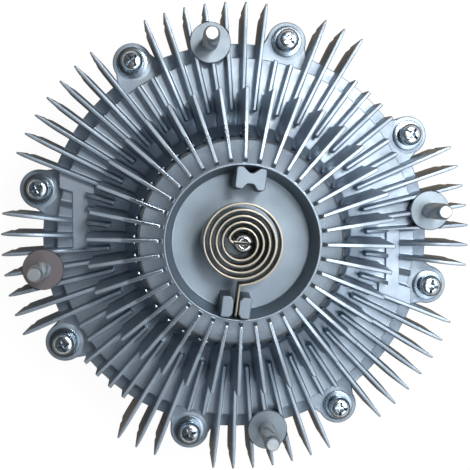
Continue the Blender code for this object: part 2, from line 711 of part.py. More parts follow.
def cover_inside():
    """Hollow of the cover: working chamber with ring grooves, plate seat and reservoir."""
    ceiling = CHAMBER_ROOF_Z
    ring_tip = ceiling - RING_HEIGHT
    below = JOINT_Z - CUTTER_PAST
    seat = PLATE_BOTTOM_Z + PLATE_THICKNESS + SEAT_GAP
    roof = RECESS_FLOOR_Z - COVER_WALL
    outline = [(0.0, below), (CHAMBER_RADIUS, below), (CHAMBER_RADIUS, ceiling)]
    for k in reversed(range(RING_COUNT - 1)):
        between = ring_middle(k) + RING_PITCH / 2
        outer = between + RING_THICKNESS / 2
        inner = between - RING_THICKNESS / 2
        outline += [(outer, ceiling), (outer, ring_tip), (inner, ring_tip), (inner, ceiling)]
    outline += [(PLATE_RADIUS + SEAT_GAP, ceiling), (PLATE_RADIUS + SEAT_GAP, seat), (RESERVOIR_RADIUS, seat),
                (RESERVOIR_RADIUS - RESERVOIR_DRAFT, SHOULDER_Z - COVER_WALL),
                (RECESS_RIM_RADIUS + HUB_WALL, SHOULDER_Z - COVER_WALL + ROOF_RISE),
                (RECESS_FLOOR_RADIUS + HUB_WALL, roof), (INNER_BOSS_RADIUS, roof),
                (INNER_BOSS_RADIUS, CIRCLIP_TOP_Z + SEAT_GAP), (0.0, CIRCLIP_TOP_Z + SEAT_GAP)]
    return turned("cover_hollow", outline, None, INNER_ROUND)


def make_front_cover():
    """The finned cover: the casting that gives the clutch its look."""
    cover = cover_outside()
    boss_top = RECESS_FLOOR_Z + SHAFT_BOSS_HEIGHT
    boss = cylinder("boss", SHAFT_BOSS_RADIUS, RECESS_FLOOR_Z - SINK, boss_top, None, 16)
    combine(cover, boss, "UNION")
    combine(cover, lugs(JOINT_Z, RIM_TOP_Z, LAND_RADIUS + SINK), "UNION")
    combine(cover, outer_fins(), "UNION")
    combine(cover, pad_clearings(), "DIFFERENCE")
    combine(cover, pads(), "UNION")
    combine(cover, inner_fins(), "UNION")
    combine(cover, upper_post(), "UNION")
    combine(cover, lower_posts(), "UNION")
    seat = FAN_SEAT_Z - STUD_COLLAR_THICKNESS - SEAT_GAP
    bosses = ring_of_cylinders("bosses", STUD_COUNT, STUD_PHASE, STUD_CIRCLE_RADIUS, STUD_BOSS_RADIUS,
                               JOINT_Z, seat + CUTTER_PAST, 12)
    combine(cover, bosses, "UNION")
    collars = ring_of_cylinders("collar_seats", STUD_COUNT, STUD_PHASE, STUD_CIRCLE_RADIUS,
                                STUD_COLLAR_RADIUS + SEAT_GAP, seat, FAN_SEAT_Z + CUTTER_PAST, 16)
    combine(cover, collars, "DIFFERENCE")
    combine(cover, cover_inside(), "DIFFERENCE")
    bore = cylinder("shaft_bore", VALVE_SHAFT_RADIUS + SEAT_GAP, CIRCLIP_TOP_Z - CUTTER_PAST, POST_TOP_Z,
                    None, 16)
    combine(cover, bore, "DIFFERENCE")
    screw_holes = ring_of_cylinders("screw_holes", SCREW_COUNT, SCREW_PHASE, SCREW_CIRCLE_RADIUS,
                                    SCREW_SHANK_RADIUS + SEAT_GAP, JOINT_Z - CUTTER_PAST,
                                    RIM_TOP_Z + CUTTER_PAST, 8)
    combine(cover, screw_holes, "DIFFERENCE")
    stud_holes = ring_of_cylinders("stud_holes", STUD_COUNT, STUD_PHASE, STUD_CIRCLE_RADIUS,
                                   STUD_RADIUS + SEAT_GAP, seat - STUD_ROOT_LENGTH, FAN_SEAT_Z, 12)
    combine(cover, stud_holes, "DIFFERENCE")
    seat = PLATE_BOTTOM_Z + PLATE_THICKNESS + SEAT_GAP
    plate_holes = ring_of_cylinders("plate_screw_holes", PLATE_SCREW_COUNT, PLATE_SCREW_PHASE,
                                    PLATE_SCREW_CIRCLE_RADIUS, PLATE_SCREW_RADIUS + SEAT_GAP,
                                    PLATE_BOTTOM_Z, seat + PLATE_SCREW_LENGTH, 6)
    combine(cover, plate_holes, "DIFFERENCE")
    shade(cover)


def open_ring(name, inner, outer, bottom, top, gap_degrees, look, steps, phase=0.0):
    """Flat ring with a gap, as a circlip or a spring washer has."""
    form = bmesh.new()
    rows = []
    for k in range(steps + 1):
        turn = math.radians(phase + gap_degrees / 2 + (360 - gap_degrees) * k / steps)
        rows.append([form.verts.new((radius * math.cos(turn), radius * math.sin(turn), height))
                     for radius, height in ((inner, bottom), (outer, bottom), (outer, top), (inner, top))])
    for first, second in zip(rows, rows[1:]):
        for i in range(4):
            j = (i + 1) % 4
            form.faces.new((first[i], first[j], second[j], second[i]))
    form.faces.new(rows[0])
    form.faces.new(rows[-1])
    return new_object(name, form, look)


def torus(name, radius, section, height, look, around, across):
    """Rubber ring of round section."""
    outline = []
    for k in range(across):
        turn = math.tau * (k + 0.5) / across
        outline.append((radius + section * math.cos(turn), height + section * math.sin(turn)))
    return turned(name, outline, look, around)


def make_rear_case():
    """Finned rear half that carries the bearing and closes the working chamber."""
    top = JOINT_Z - SEAT_GAP
    flange_bottom = top - CASE_FLANGE_THICKNESS
    plate_bottom = CASE_PLATE_BOTTOM_Z
    step = RIM_RADIUS - CASE_RIM_STEP
    bore = BEARING_OUTER_RADIUS + SEAT_GAP
    bearing_top = BEARING_TOP_Z
    groove_top = bearing_top + CASE_RING_THICKNESS + 2 * SEAT_GAP
    seal_floor = top - 2 * SEAL_SECTION - SEAT_GAP
    seal_in = SEAL_RADIUS - SEAL_SECTION - SEAT_GAP
    seal_out = SEAL_RADIUS + SEAL_SECTION + SEAT_GAP
    outline = [(CASE_LIP_RADIUS, CASE_HUB_BOTTOM_Z), (CASE_HUB_RADIUS, CASE_HUB_BOTTOM_Z),
               (CASE_HUB_RADIUS + CASE_DRAFT, plate_bottom), (step, plate_bottom),
               (step, flange_bottom), (RIM_RADIUS, flange_bottom), (RIM_RADIUS, top),
               (seal_out, top), (seal_out, seal_floor), (seal_in, seal_floor), (seal_in, top),
               (CHAMBER_RADIUS, top), (CHAMBER_RADIUS, CASE_FLOOR_Z), (bore, CASE_FLOOR_Z),
               (bore, groove_top), (bore + CASE_RING_DEPTH, groove_top),
               (bore + CASE_RING_DEPTH, bearing_top), (bore, bearing_top),
               (bore, BEARING_BOTTOM_Z - SEAT_GAP), (CASE_LIP_RADIUS, BEARING_BOTTOM_Z - SEAT_GAP)]
    case = turned("rear_case", outline, cast_aluminium(), ROUND)
    fins = []
    side = [(REAR_FIN_INNER_RADIUS, REAR_FIN_BOTTOM_Z),
            (REAR_FIN_OUTER_RADIUS - REAR_FIN_CORNER_WIDTH, REAR_FIN_BOTTOM_Z),
            (REAR_FIN_OUTER_RADIUS, REAR_FIN_BOTTOM_Z + REAR_FIN_CORNER_HEIGHT),
            (REAR_FIN_OUTER_RADIUS, plate_bottom + SINK), (REAR_FIN_INNER_RADIUS, plate_bottom + SINK)]
    for k in range(REAR_FIN_COUNT):
        degrees = FIN_PHASE + 360.0 * k / REAR_FIN_COUNT
        fins.append(radial_plate(degrees, side, lambda height: REAR_FIN_THICKNESS / 2))
    combine(case, merged("rear_fins", fins), "UNION")
    lug_bottom = top - CASE_LUG_HEIGHT
    combine(case, lugs(lug_bottom, top, RIM_RADIUS - CASE_LUG_ROOT), "UNION")
    holes = ring_of_cylinders("screw_holes", SCREW_COUNT, SCREW_PHASE, SCREW_CIRCLE_RADIUS,
                              SCREW_SHANK_RADIUS + SEAT_GAP, lug_bottom - CUTTER_PAST, top + CUTTER_PAST, 8)
    combine(case, holes, "DIFFERENCE")
    shade(case)


def make_input_shaft():
    """Shaft with the rear mounting flange, the bearing journal and the rotor seat."""
    journal = BEARING_BORE_RADIUS - SEAT_GAP
    journal_top = BEARING_TOP_Z + SEAT_GAP - JOURNAL_RELIEF
    groove = ROTOR_SEAT_RADIUS - RETAINER_GROOVE_DEPTH
    outline = [(0.0, PILOT_DEPTH), (PILOT_RADIUS, PILOT_DEPTH), (PILOT_RADIUS, EDGE_BREAK),
               (PILOT_RADIUS + EDGE_BREAK, 0.0), (FLANGE_RADIUS, 0.0),
               (FLANGE_RADIUS, FLANGE_TOP_Z - EDGE_BREAK), (FLANGE_RADIUS - EDGE_BREAK, FLANGE_TOP_Z),
               (SHAFT_NECK_RADIUS + NECK_FILLET, FLANGE_TOP_Z),
               (SHAFT_NECK_RADIUS, FLANGE_TOP_Z + NECK_FILLET),
               (SHAFT_NECK_RADIUS, BEARING_BOTTOM_Z - SEAT_GAP), (journal, BEARING_BOTTOM_Z - SEAT_GAP),
               (journal, journal_top), (ROTOR_SEAT_RADIUS, journal_top),
               (ROTOR_SEAT_RADIUS, RETAINER_Z - SEAT_GAP), (groove, RETAINER_Z - SEAT_GAP),
               (groove, RETAINER_Z + RETAINER_THICKNESS + SEAT_GAP),
               (ROTOR_SEAT_RADIUS, RETAINER_Z + RETAINER_THICKNESS + SEAT_GAP),
               (ROTOR_SEAT_RADIUS, SHAFT_TOP_Z - EDGE_BREAK), (ROTOR_SEAT_RADIUS - EDGE_BREAK, SHAFT_TOP_Z),
               (0.0, SHAFT_TOP_Z)]
    shaft = turned("input_shaft", outline, ground_steel(), 24)
    holes = ring_of_cylinders("bolt_holes", FLANGE_BOLT_COUNT, FLANGE_BOLT_PHASE, FLANGE_BOLT_CIRCLE_RADIUS,
                              FLANGE_HOLE_RADIUS, -CUTTER_PAST, FLANGE_TOP_Z + CUTTER_PAST, 10)
    combine(shaft, holes, "DIFFERENCE")
    shade(shaft)


def make_rotor():
    """Drive disc with its rings, held on the shaft by a retaining ring."""
    bore = ROTOR_SEAT_RADIUS + SEAT_GAP
    hub_bottom = BEARING_TOP_Z + SEAT_GAP
    plate_top = ROTOR_PLATE_TOP_Z
    outline = [(bore, hub_bottom), (ROTOR_HUB_RADIUS, hub_bottom), (ROTOR_HUB_RADIUS, ROTOR_PLATE_BOTTOM_Z),
               (ROTOR_RADIUS, ROTOR_PLATE_BOTTOM_Z), (ROTOR_RADIUS, plate_top)]
    for k in reversed(range(RING_COUNT)):
        outer = ring_middle(k) + RING_THICKNESS / 2
        inner = ring_middle(k) - RING_THICKNESS / 2
        outline += [(outer, plate_top), (outer, plate_top + RING_HEIGHT), (inner, plate_top + RING_HEIGHT),
                    (inner, plate_top)]
    outline += [(ROTOR_HUB_RADIUS, plate_top), (ROTOR_HUB_RADIUS, ROTOR_HUB_TOP_Z), (bore, ROTOR_HUB_TOP_Z)]
    shade(turned("rotor", outline, machined_aluminium(), INNER_ROUND))
    groove = ROTOR_SEAT_RADIUS - RETAINER_GROOVE_DEPTH
    shade(open_ring("rotor_retaining_ring", groove + SEAT_GAP, RETAINER_OUTER_RADIUS, RETAINER_Z,
                    RETAINER_Z + RETAINER_THICKNESS, 40.0, plate_steel(), 12))


def race_outline(bore, land, groove_side):
    """Section of one bearing race with its ball groove; groove_side is 1 when it faces outwards."""
    middle = BEARING_BOTTOM_Z + BEARING_WIDTH / 2
    low, high = BEARING_BOTTOM_Z, BEARING_TOP_Z
    reach = BALL_RADIUS + RUNNING_GAP
    spread = math.asin(math.sqrt(reach ** 2 - RACE_LAND_OFFSET ** 2) / reach)
    outline = [(bore, low), (land, low)]
    steps = 4
    for k in range(steps + 1):
        turn = -spread + 2 * spread * k / steps
        radius = BALL_CIRCLE_RADIUS - groove_side * reach * math.cos(turn)
        outline.append((radius, middle + reach * math.sin(turn)))
    return outline + [(land, high), (bore, high)]


def make_bearing():
    """Deep groove ball bearing with cage, shields and the ring that keeps it in the case."""
    inner_land = BALL_CIRCLE_RADIUS - RACE_LAND_OFFSET
    outer_land = BALL_CIRCLE_RADIUS + RACE_LAND_OFFSET
    middle = BEARING_BOTTOM_Z + BEARING_WIDTH / 2
    top = BEARING_TOP_Z
    shade(turned("bearing_inner_race", race_outline(BEARING_BORE_RADIUS, inner_land, 1), ground_steel(),
                 BEARING_ROUND))
    shade(turned("bearing_outer_race", race_outline(BEARING_OUTER_RADIUS, outer_land, -1), ground_steel(),
                 BEARING_ROUND))
    cage_in = BALL_CIRCLE_RADIUS - CAGE_THICKNESS / 2
    cage_out = BALL_CIRCLE_RADIUS + CAGE_THICKNESS / 2
    cage = turned("bearing_cage", [(cage_in, middle - CAGE_HEIGHT / 2), (cage_out, middle - CAGE_HEIGHT / 2),
                                   (cage_out, middle + CAGE_HEIGHT / 2), (cage_in, middle + CAGE_HEIGHT / 2)],
                  plate_steel(), BEARING_ROUND)
    windows = []
    for k in range(BALL_COUNT):
        window = cylinder("window", BALL_RADIUS + RUNNING_GAP, 0.0, BALL_CIRCLE_RADIUS + BALL_RADIUS, None, 8)
        turn = Matrix.Rotation(math.radians(360.0 * k / BALL_COUNT), 4, "Z")
        tip_over = Matrix.Rotation(math.radians(90), 4, "Y")
        window.data.transform(Matrix.Translation((0, 0, middle)) @ turn @ tip_over)
        windows.append(window)
    for window in windows:
        combine(cage, window, "DIFFERENCE")
    shade(cage)
    form = bmesh.new()
    bmesh.ops.create_uvsphere(form, u_segments=8, v_segments=6, radius=BALL_RADIUS)
    first = new_object("bearing_ball_1", form, ground_steel())
    first.data.shade_smooth()
    for k in range(BALL_COUNT):
        x, y = on_circle(BALL_CIRCLE_RADIUS, 360.0 * k / BALL_COUNT)
        if k == 0:
            first.location = (x, y, middle)
        else:
            copy_of(first, f"bearing_ball_{k + 1}", Matrix.Translation((x, y, middle)))
    shield_in = inner_land + 2 * SEAT_GAP
    shield_out = outer_land - SEAT_GAP
    for name, bottom in (("bearing_shield_rear", BEARING_BOTTOM_Z + SEAT_GAP),
                         ("bearing_shield_front", top - SEAT_GAP - SHIELD_THICKNESS)):
        outline = [(shield_in, bottom), (shield_out, bottom), (shield_out, bottom + SHIELD_THICKNESS),
                   (shield_in, bottom + SHIELD_THICKNESS)]
        shade(turned(name, outline, plate_steel(), BEARING_ROUND))
    bore = BEARING_OUTER_RADIUS + SEAT_GAP
    shade(open_ring("bearing_retaining_ring", bore - CASE_RING_REACH, bore + CASE_RING_DEPTH - SEAT_GAP,
                    top + SEAT_GAP, top + SEAT_GAP + CASE_RING_THICKNESS, 30.0, plate_steel(), 14))


def make_separator_plate():
    """Disc between reservoir and working chamber, with its port and three screws."""
    top = PLATE_BOTTOM_Z + PLATE_THICKNESS
    plate = cylinder("separator_plate", PLATE_RADIUS, PLATE_BOTTOM_Z, top, plate_steel(), INNER_ROUND)
    port = on_circle(PORT_CIRCLE_RADIUS, PORT_ANGLE)
    low, high = PLATE_BOTTOM_Z - CUTTER_PAST, top + CUTTER_PAST
    combine(plate, cylinder("port", PORT_RADIUS, low, high, None, 8, port), "DIFFERENCE")
    holes = ring_of_cylinders("plate_holes", PLATE_SCREW_COUNT, PLATE_SCREW_PHASE, PLATE_SCREW_CIRCLE_RADIUS,
                              PLATE_SCREW_RADIUS + SEAT_GAP, low, high, 6)
    combine(plate, holes, "DIFFERENCE")
    shade(plate)
    under = PLATE_BOTTOM_Z - SEAT_GAP
    low = under - PLATE_SCREW_HEAD_HEIGHT
    tip = low + PLATE_SCREW_HEAD_HEIGHT + PLATE_SCREW_LENGTH
    outline = [(0.0, low), (PLATE_SCREW_HEAD_RADIUS, low),
               (PLATE_SCREW_HEAD_RADIUS, under), (PLATE_SCREW_RADIUS, under), (PLATE_SCREW_RADIUS, tip),
               (0.0, tip)]
    first = turned("plate_screw_1", outline, zinc_steel(), 8)
    shade(first)
    place_round(first, "plate_screw", PLATE_SCREW_COUNT, PLATE_SCREW_PHASE, PLATE_SCREW_CIRCLE_RADIUS)


def place_round(first, name, count, phase, circle):
    """Move the first piece to its place on a circle and copy it to the others."""
    for k in range(count):
        degrees = phase + 360.0 * k / count
        x, y = on_circle(circle, degrees)
        place = Matrix.Translation((x, y, 0)) @ Matrix.Rotation(math.radians(degrees), 4, "Z")
        if k == 0:
            first.matrix_world = place
        else:
            copy_of(first, f"{name}_{k + 1}", place)


def make_valve():
    """Valve shaft through the cover, with its O-ring, circlip and the arm over the port."""
    arm_bottom = PLATE_BOTTOM_Z + PLATE_THICKNESS + ARM_CLEARANCE
    arm_top = arm_bottom + ARM_THICKNESS
    body_bottom = arm_top + SEAT_GAP
    clip_groove = VALVE_SHAFT_RADIUS - CIRCLIP_GROOVE_DEPTH
    clip_low = CIRCLIP_TOP_Z - CIRCLIP_THICKNESS - SEAT_GAP
    ring_centre = VALVE_SHAFT_RADIUS - O_RING_SECTION
    ring_groove = ring_centre - O_RING_SECTION - SEAT_GAP
    ring_low = O_RING_Z - O_RING_SECTION - SEAT_GAP
    ring_high = O_RING_Z + O_RING_SECTION + SEAT_GAP
    outline = [(0.0, arm_bottom - SEAT_GAP), (ARM_SPIGOT_RADIUS, arm_bottom - SEAT_GAP),
               (ARM_SPIGOT_RADIUS, body_bottom), (VALVE_SHAFT_RADIUS, body_bottom),
               (VALVE_SHAFT_RADIUS, clip_low), (clip_groove, clip_low),
               (clip_groove, CIRCLIP_TOP_Z + SEAT_GAP),
               (VALVE_SHAFT_RADIUS, CIRCLIP_TOP_Z + SEAT_GAP), (VALVE_SHAFT_RADIUS, ring_low),
               (ring_groove, ring_low), (ring_groove, ring_high), (VALVE_SHAFT_RADIUS, ring_high),
               (VALVE_SHAFT_RADIUS, VALVE_SHAFT_TOP_Z - SHAFT_END_BREAK),
               (VALVE_SHAFT_RADIUS - SHAFT_END_BREAK, VALVE_SHAFT_TOP_Z),
               (SHAFT_CENTRE_RADIUS, VALVE_SHAFT_TOP_Z), (0.0, VALVE_SHAFT_TOP_Z - SHAFT_CENTRE_DEPTH)]
    shaft = turned("valve_shaft", outline, ground_steel(), 16)
    half = SHAFT_SLOT_WIDTH / 2
    reach = VALVE_SHAFT_RADIUS + CUTTER_PAST
    slot = prism("slot", [(-reach, -half), (reach, -half), (reach, half), (-reach, half)],
                 SPRING_BOTTOM_Z - SLOT_FLOOR_GAP, VALVE_SHAFT_TOP_Z + CUTTER_PAST)
    slot.data.transform(Matrix.Rotation(math.radians(SLOT_ANGLE), 4, "Z"))
    combine(shaft, slot, "DIFFERENCE")
    shade(shaft)
    shade(torus("valve_shaft_o_ring", ring_centre, O_RING_SECTION, O_RING_Z, rubber(), 16, 4))
    shade(open_ring("valve_shaft_circlip", clip_groove + SEAT_GAP, CIRCLIP_OUTER_RADIUS,
                    CIRCLIP_TOP_Z - CIRCLIP_THICKNESS, CIRCLIP_TOP_Z, 50.0, plate_steel(), 10))
    arm = cylinder("valve_arm", ARM_HUB_RADIUS, arm_bottom, arm_top, plate_steel(), 12)
    tip = PORT_CIRCLE_RADIUS + PORT_RADIUS + ARM_PAST_PORT
    half, root = ARM_WIDTH / 2, ARM_ROOT_WIDTH / 2
    plan = [(0.0, -root), (tip - ARM_CORNER, -half), (tip, -half + ARM_CORNER), (tip, half - ARM_CORNER),
            (tip - ARM_CORNER, half), (0.0, root)]
    blade = prism("blade", plan, arm_bottom, arm_top)
    blade.data.transform(Matrix.Rotation(math.radians(PORT_ANGLE), 4, "Z"))
    combine(arm, blade, "UNION")
    hole = cylinder("spigot_hole", ARM_SPIGOT_RADIUS + SEAT_GAP, arm_bottom - CUTTER_PAST,
                    arm_top + CUTTER_PAST, None, 10)
    combine(arm, hole, "DIFFERENCE")
    shade(arm)


def spring_path():
    """Middle line of the bimetal strip: tab in the shaft slot, hook, spiral and outer leg."""
    tab = on_circle(1.0, SLOT_ANGLE)
    left = VALVE_SHAFT_RADIUS + SEAT_GAP
    points = [(-tab[0] * TAB_REACH, -tab[1] * TAB_REACH), (tab[0] * left, tab[1] * left)]
    start_turn = math.radians(SPRING_START_TURN)
    steps = round(SPRING_TURNS * SPRING_STEPS_PER_TURN)
    for k in range(steps + 1):
        turn = start_turn + (SPRING_TURNS * math.tau - start_turn) * k / steps
        radius = SPRING_START_RADIUS + SPRING_PITCH * turn / math.tau
        points.append((SPRING_CENTRE_X + radius * math.cos(math.pi - turn),
                       SPRING_CENTRE_Y + radius * math.sin(math.pi - turn)))
    hook = ((points[1][0] + points[2][0]) / 2 - HOOK_EASE, (points[1][1] + points[2][1]) / 2 - HOOK_EASE)
    points.insert(2, hook)
    points.append(on_circle(SPRING_LEG_RADIUS, POST_ANGLE + 180))
    return [Vector(point) for point in points]


def make_bimetal_spring():
    """Flat bimetal strip that turns the valve shaft as the air warms."""
    path = spring_path()
    form = bmesh.new()
    rows = []
    last = len(path) - 1
    for i, point in enumerate(path):
        before = (point - path[i - 1]).normalized() if i > 0 else None
        after = (path[i + 1] - point).normalized() if i < last else None
        along = (before + after).normalized() if before and after else before or after
        across = Vector((-along.y, along.x))
        sharp = before.dot(after) if before and after else 1.0
        half = SPRING_STRIP / 2 / max(0.75, math.sqrt((1 + sharp) / 2))
        left, right = point + across * half, point - across * half
        rows.append([form.verts.new((corner.x, corner.y, height))
                     for corner, height in ((left, SPRING_BOTTOM_Z), (right, SPRING_BOTTOM_Z),
                                            (right, SPRING_TOP_Z), (left, SPRING_TOP_Z))])
    for first, second in zip(rows, rows[1:]):
        for i in range(4):
            j = (i + 1) % 4
            form.faces.new((first[i], first[j], second[j], second[i]))
    form.faces.new(rows[0])
    form.faces.new(rows[-1])
    shade(new_object("bimetal_spring", form, bimetal()))


def make_cover_screws():
    """Eight screws with their flat and spring washers."""
    low = RIM_TOP_Z + SEAT_GAP
    flat_top = low + WASHER_THICKNESS
    lock_top = flat_top + SEAT_GAP + SPRING_WASHER_THICKNESS
    under = lock_top + SEAT_GAP
    top = under + SCREW_HEAD_HEIGHT
    hole = SCREW_SHANK_RADIUS + SEAT_GAP
    washer = turned("cover_washer_1", [(hole, low), (WASHER_RADIUS, low), (WASHER_RADIUS, flat_top),
                                       (hole, flat_top)], zinc_steel(), SMALL_ROUND)
    shade(washer)
    place_round(washer, "cover_washer", SCREW_COUNT, SCREW_PHASE, SCREW_CIRCLE_RADIUS)
    lock = open_ring("cover_spring_washer_1", hole, SPRING_WASHER_RADIUS, flat_top + SEAT_GAP, lock_top, 14.0,
                     zinc_steel(), 9, 120.0)
    shade(lock)
    place_round(lock, "cover_spring_washer", SCREW_COUNT, SCREW_PHASE, SCREW_CIRCLE_RADIUS)
    head = SCREW_HEAD_RADIUS
    tip = under - SCREW_LENGTH
    outline = [(0.0, tip), (SCREW_SHANK_RADIUS, tip), (SCREW_SHANK_RADIUS, under), (head, under),
               (head, under + SCREW_HEAD_SIDE), (head - SCREW_CROWN_INSET, top - SCREW_CROWN_DROP),
               (SCREW_FLAT_RADIUS, top), (0.0, top)]
    screw = turned("cover_screw_1", outline, zinc_steel(), 10)
    half, reach = CROSS_WIDTH / 2, CROSS_LENGTH / 2
    cross = [(-reach, -half), (-half, -half), (-half, -reach), (half, -reach), (half, -half), (reach, -half),
             (reach, half), (half, half), (half, reach), (-half, reach), (-half, half), (-reach, half)]
    combine(screw, prism("cross", cross, top - CROSS_DEPTH, top + CUTTER_PAST), "DIFFERENCE")
    shade(screw)
    place_round(screw, "cover_screw", SCREW_COUNT, SCREW_PHASE, SCREW_CIRCLE_RADIUS)


def make_fan_studs():
    """Four studs whose collars carry the fan."""
    collar_low = FAN_SEAT_Z - STUD_COLLAR_THICKNESS
    tip = FAN_SEAT_Z + STUD_PROTRUSION
    dog = tip - STUD_DOG_LENGTH
    root = collar_low - STUD_ROOT_LENGTH
    edge = STUD_COLLAR_RADIUS
    outline = [(0.0, root), (STUD_RADIUS, root), (STUD_RADIUS, collar_low), (edge, collar_low),
               (edge, FAN_SEAT_Z), (STUD_RADIUS, FAN_SEAT_Z), (STUD_RADIUS, dog - STUD_DOG_CHAMFER),
               (STUD_DOG_RADIUS, dog), (STUD_DOG_RADIUS, tip), (0.0, tip)]
    stud = turned("fan_stud_1", outline, zinc_steel(), SMALL_ROUND)
    shade(stud)
    place_round(stud, "fan_stud", STUD_COUNT, STUD_PHASE, STUD_CIRCLE_RADIUS)


def make_cover_seal():
    """Rubber ring in the joint between cover and case."""
    centre = JOINT_Z - SEAT_GAP - SEAL_SECTION
    shade(torus("cover_seal_ring", SEAL_RADIUS, SEAL_SECTION, centre, rubber(), ROUND, 4))


def build():
    """Build every piece."""
    remove_everything()
    make_input_shaft()
    make_rotor()
    make_bearing()
    make_rear_case()
    make_cover_seal()
    make_front_cover()
    make_separator_plate()
    make_valve()
    make_bimetal_spring()
    make_cover_screws()
    make_fan_studs()


build()
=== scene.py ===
# %% [markdown]
# # A viscous fan clutch, from imported solids to a finished picture
#
# The clutch sits between an engine and its cooling fan. Its front half is a die-cast aluminium
# cover with long cooling fins, and a bimetal coil in the middle feels the air from the radiator.
# The imported solids fix every size. This lesson adds what a casting and its hardware look like
# up close: rounded edges, fillets, threads, washers, grain and stains.

# %% Load the imported clutch
import json
import math

import bpy
from mathutils import Matrix, Vector


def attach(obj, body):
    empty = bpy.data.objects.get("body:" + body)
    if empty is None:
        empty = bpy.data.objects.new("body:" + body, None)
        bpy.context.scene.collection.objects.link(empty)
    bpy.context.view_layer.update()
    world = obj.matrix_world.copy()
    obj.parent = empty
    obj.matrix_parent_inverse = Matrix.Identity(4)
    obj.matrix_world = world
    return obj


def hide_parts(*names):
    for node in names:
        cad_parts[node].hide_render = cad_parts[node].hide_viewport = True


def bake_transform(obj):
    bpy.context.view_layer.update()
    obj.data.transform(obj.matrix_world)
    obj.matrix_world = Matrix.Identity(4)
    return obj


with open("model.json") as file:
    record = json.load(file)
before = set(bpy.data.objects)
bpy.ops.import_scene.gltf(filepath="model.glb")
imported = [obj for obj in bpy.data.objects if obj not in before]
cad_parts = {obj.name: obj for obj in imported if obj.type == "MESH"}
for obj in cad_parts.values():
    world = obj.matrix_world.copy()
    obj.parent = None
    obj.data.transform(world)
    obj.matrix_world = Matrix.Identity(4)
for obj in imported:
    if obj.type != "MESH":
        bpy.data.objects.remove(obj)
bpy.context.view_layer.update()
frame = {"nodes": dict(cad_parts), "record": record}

# %% [markdown]
# ## Sizes that the pieces share
#
# Every length is in metres, as in the solids, and `mm` turns points that are typed in
# millimetres into metres. `LAND`, `RIM_TOP` and `JOINT` are heights, `LAND_EDGE` and `RIM` are
# radii, and points closer than `TOUCH` count as one. Angles are degrees, counter-clockwise from
# the photograph's right. Shared names keep fins, screws and studs on the same circles.

# %% Shared sizes
MM = 0.001
TOUCH = 1e-6
FIN_COUNT = 72
FIN_PITCH = 5.0
FIN_PHASE = 3.4
FIN_TOP = 62 * MM
FIN_HALF = 0.9 * MM
FIN_SLOPE = math.tan(math.radians(2.5))
TALL_TOP = 85.5 * MM
LAND = 55.7 * MM
LAND_EDGE = 88.6 * MM
RIM = 96.2 * MM
RIM_TOP = 48 * MM
JOINT = 39 * MM
SCREW_CIRCLE = 100.5 * MM
SCREW_ANGLES = [30.9 + 45 * k for k in range(8)]
STUD_CIRCLE = 95 * MM
STUD_ANGLES = [8.4 + 90 * k for k in range(4)]


def mm(*points):
    """Turn points typed in millimetres into metres."""
    return [tuple(value * MM for value in point) for point in points]


def on_circle(radius, degrees):
    """Point on a circle round the clutch's axis, seen from above."""
    turn = math.radians(degrees)
    return radius * math.cos(turn), radius * math.sin(turn)


print("first screw, mm:", [round(v / MM, 1) for v in on_circle(SCREW_CIRCLE, SCREW_ANGLES[0])])

# %% [markdown]
# ## Selecting parts of a mesh
#
# Blender's operators act on whatever is selected, so each helper first clears the selection.
# `choose` picks the vertices or edges that pass a test, as one would click them.

# %% Selection helpers


def mode(name):
    """Switch the active object to edit or object mode."""
    bpy.ops.object.mode_set(mode=name)


def clear():
    """Leave edit mode and deselect everything."""
    if bpy.context.object is not None and bpy.context.object.mode == "EDIT":
        mode("OBJECT")
    bpy.ops.object.select_all(action="DESELECT")


def activate(thing):
    """Select one object alone."""
    clear()
    thing.select_set(True)
    bpy.context.view_layer.objects.active = thing


def choose(thing, kind, test):
    """Enter edit mode with the vertices or edges selected that pass a test."""
    activate(thing)
    mode("EDIT")
    bpy.ops.mesh.select_mode(type=kind)
    bpy.ops.mesh.select_all(action="DESELECT")
    mode("OBJECT")
    vertices = thing.data.vertices
    if kind == "VERT":
        for vertex in vertices:
            vertex.select = test(vertex.co)
    else:
        for edge in thing.data.edges:
            edge.select = test(*[vertices[i].co for i in edge.vertices])
    mode("EDIT")


def drop(*things):
    """Delete objects that are no longer needed."""
    for thing in things:
        bpy.data.objects.remove(thing, do_unlink=True)


# %% [markdown]
# ## Drawing by operators
#
# `trace` draws a chain of vertices by extruding each one from the last. `lathe` spins a closed
# section round the axis, and `tidy_mesh` cleans up each finished shape.

# %% Drawing helpers


def trace(points, closed=True):
    """Draw a chain of vertices through the points, and stay in edit mode."""
    clear()
    bpy.ops.mesh.primitive_plane_add(size=MM, location=(0, 0, 0))
    thing = bpy.context.object
    mode("EDIT")
    bpy.ops.mesh.select_mode(type="VERT")
    bpy.ops.mesh.select_all(action="SELECT")
    bpy.ops.mesh.merge(type="CENTER")
    bpy.ops.transform.translate(value=points[0])
    for before, after in zip(points, points[1:]):
        step = [b - a for a, b in zip(before, after)]
        bpy.ops.mesh.extrude_vertices_move(TRANSFORM_OT_translate={"value": step})
    if closed:
        mode("OBJECT")
        ends = (0, len(points) - 1)
        for vertex in thing.data.vertices:
            vertex.select = vertex.index in ends
        mode("EDIT")
        bpy.ops.mesh.edge_face_add()
        bpy.ops.mesh.select_all(action="SELECT")
    return thing


def tidy_mesh(thing, angle=30.0):
    """Merge doubles, point the faces outwards and smooth all but the real edges."""
    activate(thing)
    mode("EDIT")
    bpy.ops.mesh.select_all(action="SELECT")
    bpy.ops.mesh.remove_doubles(threshold=TOUCH)
    bpy.ops.mesh.normals_make_consistent(inside=False)
    mode("OBJECT")
    bpy.ops.object.shade_smooth_by_angle(angle=math.radians(angle))
    return thing


